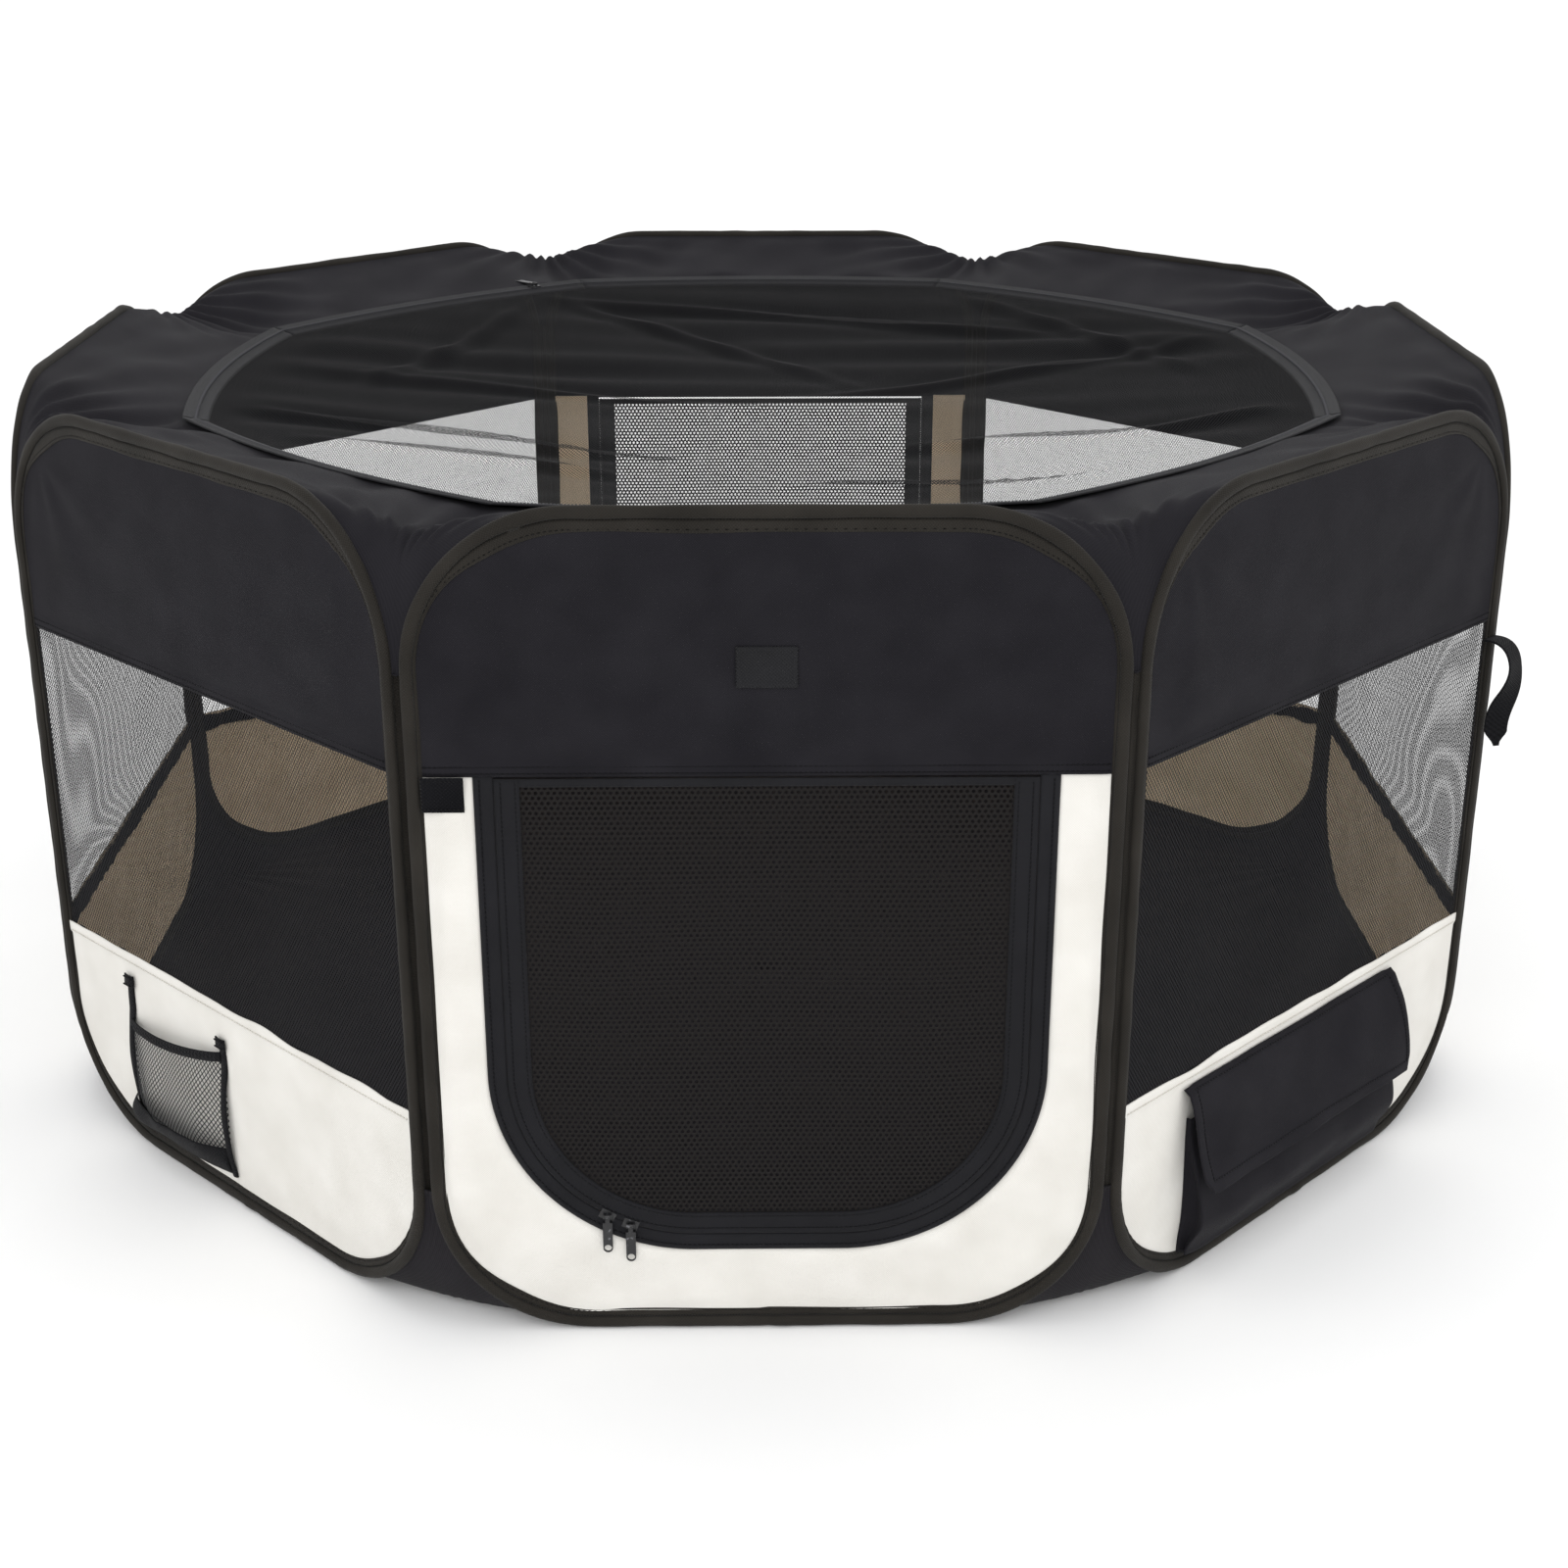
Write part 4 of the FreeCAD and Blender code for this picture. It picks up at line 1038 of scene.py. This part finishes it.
def makeRoofNet(side):
    x, y, share = sliceGrid(zipLine, centreLine, 57, 60, 1.0)
    flat = ontoPanel(side, x, y, 0 * x)
    calm = ease(share, 0.02, 0.12)
    sag = roofSet["sag"] * (1 - (1 - share) ** 2)
    ripples = waves(flat[..., 0], flat[..., 1] * 1.6, 720, 0.07, 0.3) * roofSet["ripple"]
    z = roofSet["zipLevel"] - sag + calm * (ripples + creaseHeight(flat[..., 0], flat[..., 1]))
    piece = buildPiece(
        side + "_roof_net", [gridPatch(ontoPanel(side, x, y, z), flat[..., 0], flat[..., 1])],
        [paint["roofNet"]], side + "_panel",
        stands=["roof_mesh"] if side == "front" else (), weld=True,
    )
    squashToPanel(piece)


def makeFloor(side):
    # the floor lies flat, and at the corners it climbs between the hoops' round lower corners
    x, y, share = sliceGrid(panelEdge, centreLine, 65, 60, 2.0)
    flat = ontoPanel(side, x, y, 0 * x)
    calm = ease(y, 0.01, 0.06)
    folds = waves(flat[..., 0], flat[..., 1], 740, 0.08, 0.35)
    folds = folds + 1.6 * cornerFolds(side, flat[..., 0], flat[..., 1], 741)
    settle = (wireLow - floorSet["level"]) * ease(y, 0.0, 0.03)
    z = wireLow + hoopCorner - archRise(x, y) - settle + calm * floorSet["fold"] * (folds + 1)
    points = ontoPanel(side, x, y, np.maximum(z, floorSet["lowest"]))
    piece = buildPiece(
        side + "_floor_cloth", [gridPatch(points, flat[..., 0], flat[..., 1])],
        [paint["floorOxford"]], side + "_panel", clothSet["thick"],
        stands=["floor_sheet"] if side == "front" else (), weld=True,
    )
    squashToPanel(piece)


for side in sides:
    makeRoofBorder(side)
    makeRoofZip(side)
    makeRoofNet(side)
    makeFloor(side)
for node in ("roof_zip_slider", "roof_zip_pull"):
    # the same castings, let down to where the cloth really lies
    mesh = frame["nodes"][node].data.copy()
    mergePoints(mesh, weldGap["casting"])
    drop = roofSet["zipLevel"] + roofSet["castingRise"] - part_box("roof_zip_slider")[0].z
    mesh.transform(Matrix.Translation((0, 0, drop)))
    mesh.materials.clear()
    mesh.materials.append(paint["enamelledZinc"])
    casting = bpy.data.objects.new(node + "_casting", mesh)
    bpy.context.scene.collection.objects.link(casting)
    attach(casting, "back_left_panel")
    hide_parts(node)
    squashToPanel(casting)
print("roof and floor made")

# pockets; metres, but for shares of a height or a width
bottleSet = {
    "out": 0.026, "droop": 0.018, "bandShare": 0.20, "bandDip": 0.007, "elastic": 0.0085,
    "edge": 0.0075, "tabTop": 0.165, "tabStep": 0.010, "lump": 0.0055, "off": 0.0014,
    "trimThick": 0.0014,
}


def nodeSpan(node, side):
    # a node's run along its panel, read from the frame's points
    turn = math.radians(45 * sides.index(side))
    along = [v.co.x * math.cos(turn) + v.co.y * math.sin(turn) for v in frame["nodes"][node].data.vertices]
    return min(along), max(along)


def bottleShape(s, t, left, right, low, high):
    # a slack pouch: it stands off the panel most in its middle, and its top edge droops
    x = left + s * (right - left)
    across = np.sin(math.pi * np.clip(s, 0, 1))
    top = high - bottleSet["droop"] * (1 - s) - 0.004 * across
    z = low + t * (top - low)
    belly = np.sin(math.pi * np.clip(t * 0.82 + 0.09, 0, 1)) ** 0.6
    slack = 0.0022 * waves(x, z * 0.5, 811, 0.03, 0.09) * np.sin(math.pi * np.clip(t, 0, 1))
    off = np.maximum(across ** 0.6 * (bottleSet["out"] * belly * 0.8 + slack) * ease(t, -0.06, 0.22), 0)
    return x, bandSurface("front_left", x, z) - bottleSet["off"] - off, z


def makeBottlePocket():
    side = "front_left"
    left, right = nodeSpan("bottle_pocket", side)
    low, high = (corner.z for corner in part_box("bottle_pocket"))
    s, t = np.meshgrid(np.linspace(0, 1, 49), np.linspace(0, 1, 41), indexing="ij")
    x, y, z = bottleShape(s, t, left, right, low, high)
    net = buildPiece(
        "bottle_pocket_net", [gridPatch(ontoPanel(side, x, y, z), x * 1.15, z * 1.05)],
        [paint["pocketNet"]], side + "_panel", stands=["bottle_pocket"],
    )
    patches = []
    # bottom band: its upper edge follows the pouch, its lower edge lies on the panel
    s, t = np.meshgrid(np.linspace(0, 1, 49), np.linspace(0, 1, 13), indexing="ij")
    x, y, z = bottleShape(s, t * bottleSet["bandShare"], left - 0.006 * (1 - s), right, low, high)
    z = z - bottleSet["bandDip"] * (1 - t) * (1 - s * 0.6) - 0.004 * (1 - t) * np.sin(math.pi * s)
    lump = 0.0030 + bottleSet["lump"] * np.exp(-(((s - 0.12) / 0.16) ** 2))
    patches.append(gridPatch(ontoPanel(side, x, y - 0.0008 - lump * np.sin(math.pi * t), z), x, z))
    # elastic along the top edge, gathered into small ripples
    s, t = np.meshgrid(np.linspace(0, 1, 97), np.linspace(0, 1, 9), indexing="ij")
    x, y, z = bottleShape(s, 1 + 0 * s, left, right, low, high)
    gather = 0.0005 * np.sin(s * 190) * np.sin(math.pi * t)
    z = z + bottleSet["elastic"] * (t - 0.75)
    y = y - 0.0007 - gather - 0.0010 * np.sin(math.pi * t)
    patches.append(gridPatch(ontoPanel(side, x, y, z), x, z))
    # webbing down both sides, with a folded tab standing above each
    tabTop = bottleSet["tabTop"]
    for edge, top, tall in ((left, tabTop, 0.012), (right, tabTop - bottleSet["tabStep"], 0.011)):
        s, t = np.meshgrid(np.linspace(-1, 1, 9), np.linspace(0, 1, 61), indexing="ij")
        half = bottleSet["edge"] / 2 * (1 + 0.15 * waves(t * 0.1, 0 * t, 815, 0.02, 0.05))
        z = low - 0.006 + t * (top - low + 0.006)
        tab = ease(z, top - tall, top - tall + 0.002)
        x = edge + s * half * (1 + 0.75 * tab) + 0.0012 * np.sin(t * 9)
        slackWeb = 0.004 * np.sin(math.pi * np.clip(t * 1.3, 0, 1)) * (1 - tab)
        y = bandSurface(side, x, z) - 0.0012 - 0.0012 * (1 - s * s) - 0.0016 * tab - slackWeb
        patches.append(gridPatch(ontoPanel(side, x, y, z), x, z))
        for level in (top - tall + 0.003, top - 0.002):
            row = np.arange(edge - 0.0045, edge + 0.005, 0.0022)
            patches.append(seamRow(side, row, level + 0 * row, bandSurface(side, row, level) - 0.0046))
    trim = buildPiece(
        "bottle_pocket_trim", patches, [paint["webbing"], paint["blackThread"]],
        side + "_panel", bottleSet["trimThick"],
    )


storageSet = {
    "out": 0.021, "thin": 0.0040, "off": 0.0012, "gussetIn": 0.007, "gussetShare": 0.13, "puff": 0.0012,
    "seamDown": 0.009, "thick": 0.0011,
}


def makeStoragePocket():
    # the bag: thin under the flap, standing off most below its middle, with gussets that fold inwards
    side = "front_right"
    left, right = nodeSpan("storage_pocket", side)
    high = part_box("storage_pocket")[1].z
    low = wireLow + bindingSet["lowReach"] - 0.002
    s, t = np.meshgrid(np.linspace(-1, 1, 121), np.linspace(0, 1, 41), indexing="ij")
    frontShare = 1 - storageSet["gussetShare"]
    onSide = ease(np.abs(s), frontShare - 0.01, frontShare + 0.01)
    sideShare = np.clip((1 - np.abs(s)) / storageSet["gussetShare"], 0, 1)
    fullness = ease(1 - t, 0.02, 0.72) * (0.22 + 0.78 * ease(t, 0, 0.30))
    out = storageSet["thin"] + (storageSet["out"] - storageSet["thin"]) * fullness
    gusset = storageSet["gussetIn"] * np.sin(math.pi * sideShare) * onSide * ease(1 - t, 0.1, 0.6)
    front = np.clip(s / frontShare, -1, 1)
    x = (left + right) / 2 + (right - left) / 2 * front - np.sign(s) * gusset
    roundness = 1 - 0.10 * np.abs(front) ** 6
    puff = waves(x, t * 0.12, 821, 0.05, 0.2) * storageSet["puff"] * np.sin(math.pi * t) * (1 - onSide)
    bottom = np.maximum(low, roundedEdge(x, low, -1) + 0.002)
    z = bottom + t * (high - bottom)
    away = (out * roundness + puff) * np.where(onSide > 0.5, sideShare, 1)
    y = bandSurface(side, x, z) - storageSet["off"] - away
    patches = [gridPatch(ontoPanel(side, x, y, z), s * 0.2, z)]
    row = np.arange(left + 0.006, right - 0.006, clothSet["stitchStep"])
    level = high - storageSet["seamDown"]
    lift = bandSurface(side, row, level) - 2 * storageSet["off"] - storageSet["thin"]
    patches.append(seamRow(side, row, level + 0 * row, lift))
    bag = buildPiece(
        "storage_pocket_bag", patches, [paint["blackOxford"], paint["blackThread"]],
        side + "_panel", storageSet["thick"], stands=["storage_pocket"],
    )


flapSet = {
    "top": 0.1698, "low": 0.086, "out": 0.030, "fold": 0.0045, "swell": 0.007, "run": 0.092,
    "piping": 0.009, "pipingRise": 0.0011, "off": 0.0014, "dent": 0.0014, "cornerIn": 0.005,
    "endStitches": 25, "rowReach": 0.10, "thick": 0.0012,
}


def flapShape(s, t, left, right):
    # the profile turns over a short fold and then slopes outwards; its right end swells in an arc
    away = flapSet["out"] - flapSet["fold"]
    slope = away * (t + flapSet["swell"] / away * ease(s, 0.5, 0.97) * np.sin(math.pi * t))
    # the last of it curls back on a quarter circle
    curl = 0.965
    quarter = np.sqrt(np.clip(1 - ((s - curl) / (1 - curl)) ** 2, 0, 1))
    tuckIn = 1 - 0.30 * (1 - quarter) * (s > curl)
    out = (flapSet["fold"] * ease(t, 0, 0.05) + slope * (0.94 + 0.06 * s)) * tuckIn
    z = flapSet["top"] - (flapSet["top"] - flapSet["low"]) * (t + 0.06 * t * (1 - t))
    x = left + (right - left) * s
    dent = flapSet["dent"] * waves(x, z, 831, 0.07, 0.22) * np.sin(math.pi * np.clip(t, 0, 1))
    corner = flapSet["cornerIn"] * ease(np.abs(2 * s - 1), 0.92, 1.0) * ease(t, 0.82, 1.0)
    y = bandSurface("front_right", x, z) - flapSet["off"] - out - dent * ease(t, 0, 0.2)
    return x - corner * np.sign(2 * s - 1), y, z + corner * 0.5


def makeFlap():
    left, right = nodeSpan("storage_pocket_flap", "front_right")
    side = "front_right"
    s, t = np.meshgrid(np.linspace(0, 1, 121), np.linspace(0, 1, 49), indexing="ij")
    x, y, z = flapShape(s, t, left, right)
    # a doubled border runs round the two ends and the free edge
    width = right - left
    run = flapSet["run"]
    fromEdge = np.minimum(np.minimum(s, 1 - s) * width, (1 - t) * run)
    y = y - flapSet["pipingRise"] * (1 - ease(fromEdge, flapSet["piping"], flapSet["piping"] + 0.0015))
    patches = [gridPatch(ontoPanel(side, x, y, z), x, t * run)]
    inset = flapSet["piping"] + 0.0016
    steps = int(width / clothSet["stitchStep"])
    rows = [(np.linspace(inset / width, 1 - inset / width, steps), np.full(steps, 1 - inset / run))]
    count = flapSet["endStitches"]
    lowest = 1 - inset / flapSet["rowReach"]     # stops short of the lower row
    for end in (inset / width, 1 - inset / width):
        rows.append((np.full(count, end), np.linspace(0.05, lowest, count)))
    rows.append((np.linspace(0.01, 0.99, steps), np.full(steps, 0.03)))
    for rowS, rowT in rows:
        rowX, rowY, rowZ = flapShape(rowS, rowT, left, right)
        patches.append(seamRow(side, rowX, rowZ, rowY - 0.0008))
    flap = buildPiece(
        "storage_flap_cloth", patches, [paint["blackOxford"], paint["blackThread"]],
        "pocket_flap", flapSet["thick"], stands=["storage_pocket_flap"],
    )


makeBottlePocket()
makeStoragePocket()
makeFlap()
print("pockets made")

# strap and sewn trim, in metres; the path gives how far out and how high, the twist is in radians
strapSet = {
    "wide": 0.019, "long": 0.125, "thick": 0.0015, "twist": 1.15,
    "path": [(0.004, 0.440), (0.020, 0.443), (0.034, 0.428),
             (0.030, 0.395), (0.016, 0.372), (0.022, 0.348)],
}


def makeStrap():
    # a ribbon along a smooth curve through the listed places, turning about its own length
    side = "front_right"
    span = nodeSpan("corner_strap", side)
    curve = bpy.data.curves.new("strap_route", "CURVE")
    curve.dimensions = "3D"
    line = curve.splines.new("NURBS")
    line.points.add(len(strapSet["path"]) - 1)
    for point, (out, level) in zip(line.points, strapSet["path"]):
        point.co = (0, -out, level, 1)
    line.order_u = 4
    line.use_endpoint_u = True
    curve.resolution_u = 12
    holder = bpy.data.objects.new("strap_route", curve)
    route = np.array([v.co for v in bpy.data.meshes.new_from_object(holder).vertices])
    bpy.data.objects.remove(holder)
    share = np.linspace(0, 1, len(route))[:, None]
    turn = strapSet["twist"] * ease(share, 0.35, 1.0)
    taper = 1 - 0.75 * ease(share, 0.93, 1.0)
    s = np.linspace(-1, 1, 13)[None]
    half = strapSet["wide"] / 2 * taper * s
    way = np.gradient(route, axis=0)
    way = way / np.linalg.norm(way, axis=1)[:, None]
    x = (span[0] + span[1]) / 2 + half * np.cos(turn)
    y = route[:, 1:2] + half * np.sin(turn) * way[:, 2:3]
    z = route[:, 2:3] - half * np.sin(turn) * way[:, 1:2]
    patches = [gridPatch(ontoPanel(side, x, y, z), x, share * 0.12 + 0 * x)]
    strap = buildPiece(
        "corner_strap_webbing", patches, [paint["webbing"]],
        side + "_panel", strapSet["thick"], stands=["corner_strap"],
    )


trimSet = {
    "labelWide": 0.043, "labelTall": 0.030, "labelLevel": 0.536, "labelRise": 0.0008,
    "labelBorder": 0.0035, "patchWide": 0.030, "patchTall": 0.026, "patchOut": -0.0034,
    "patchBorder": 0.0022, "stitchOut": -0.0044, "stitchStep": 0.0030, "thick": 0.0006,
}


def padPatch(side, centreX, centreZ, wide, tall, rise, border, paintIndex):
    # a low sewn patch: flat, with a rim that dips to the cloth at its edge
    s, t = np.meshgrid(np.linspace(-1, 1, 41), np.linspace(-1, 1, 31), indexing="ij")
    x, z = centreX + s * wide / 2, centreZ + t * tall / 2
    fromEdge = np.minimum((1 - np.abs(s)) * wide / 2, (1 - np.abs(t)) * tall / 2)
    y = rise - 0.0005 * ease(fromEdge, 0, 0.0012) - 0.0004 * (1 - ease(fromEdge, border, border + 0.0007))
    return gridPatch(ontoPanel(side, x, y, z), x, z, paintIndex)


def makeTrim():
    # a blank label on the band and a hook patch at its lower left
    side = "front"
    level, seed = trimSet["labelLevel"], 200
    relief = float(bandRelief(np.array([0.0]), np.array([level]), seed, wrinkleStrength[side])[0])
    label = padPatch(side, 0, level, trimSet["labelWide"], trimSet["labelTall"],
                     relief - trimSet["labelRise"], trimSet["labelBorder"], 0)
    wide, tall = trimSet["patchWide"], trimSet["patchTall"]
    patchX = -(legPlace - bindingSet["legReach"] - wide / 2 + 0.001)
    patchZ = bandBottom - tall / 2 + 0.0004
    out, border = trimSet["patchOut"], trimSet["patchBorder"]
    patches = [label, padPatch(side, patchX, patchZ, wide, tall, out, border, 1)]
    for end in (-0.5, 0.5):
        row = np.arange(patchX - wide / 2 + 0.002, patchX + wide / 2 - 0.001, trimSet["stitchStep"])
        patches.append(seamRow(side, row, patchZ + end * (tall - 0.005) + 0 * row, trimSet["stitchOut"], 2))
    buildPiece(
        "front_sewn_trim", patches, [paint["wovenLabel"], paint["hookTape"], paint["blackThread"]],
        side + "_panel", trimSet["thick"], stands=["sewn_patches"],
    )


makeStrap()
makeTrim()
print("strap and trim made")


# ground and light; lights are place, size in metres and watts
stageSet = {
    "light": "#fbfbfb", "dark": "#f8f8f8", "rough": 0.9, "shine": 0.1, "grain": 3.0, "wide": 60,
    "level": -0.0005, "sky": 1.10, "aim": (0, 0, 0.3), "key": ((-0.5, -3.0, 2.2), 2.2, 20.0),
    "fill": ((2.4, -1.8, 2.2), 2.4, 9.0), "top": ((0, 0.4, 3.4), 2.6, 9.0),
}


def makeStage():
    bpy.ops.mesh.primitive_plane_add(size=stageSet["wide"], location=(0, 0, stageSet["level"]))
    ground = bpy.context.object
    ground.name = "studio_floor"
    # painted board: white and matt, with the faintest mottling
    material, tree = newMaterial("paintedStudioFloor")
    spot = addNode(tree, "ShaderNodeTexCoord").outputs["Object"]
    grain = addNode(tree, "ShaderNodeTexNoise", {"Vector": spot, "Scale": stageSet["grain"]})
    ramp = rampOf(tree, grain.outputs[0], stageSet["dark"], stageSet["light"])
    shader = addNode(tree, "ShaderNodeBsdfPrincipled", {
        "Base Color": ramp.outputs[0],
        "Roughness": stageSet["rough"],
        "Specular IOR Level": stageSet["shine"],
    })
    addNode(tree, "ShaderNodeOutputMaterial", {0: shader.outputs[0]})
    ground.data.materials.append(material)
    world = bpy.context.scene.world or bpy.data.worlds.new("studio")
    bpy.context.scene.world = world
    world.use_nodes = True
    bpy.context.scene.view_settings.view_transform = "Standard"
    background = world.node_tree.nodes["Background"]
    background.inputs[0].default_value = (1, 1, 1, 1)
    background.inputs[1].default_value = stageSet["sky"]
    for name in ("key", "fill", "top"):
        place, size, power = stageSet[name]
        data = bpy.data.lights.new(name, "AREA")
        data.size = size
        data.energy = power
        light = bpy.data.objects.new(name, data)
        light.location = place
        light.rotation_mode = "QUATERNION"
        light.rotation_quaternion = (Vector(stageSet["aim"]) - Vector(place)).to_track_quat("-Z", "Y")
        bpy.context.scene.collection.objects.link(light)


makeStage()
print("stage set")
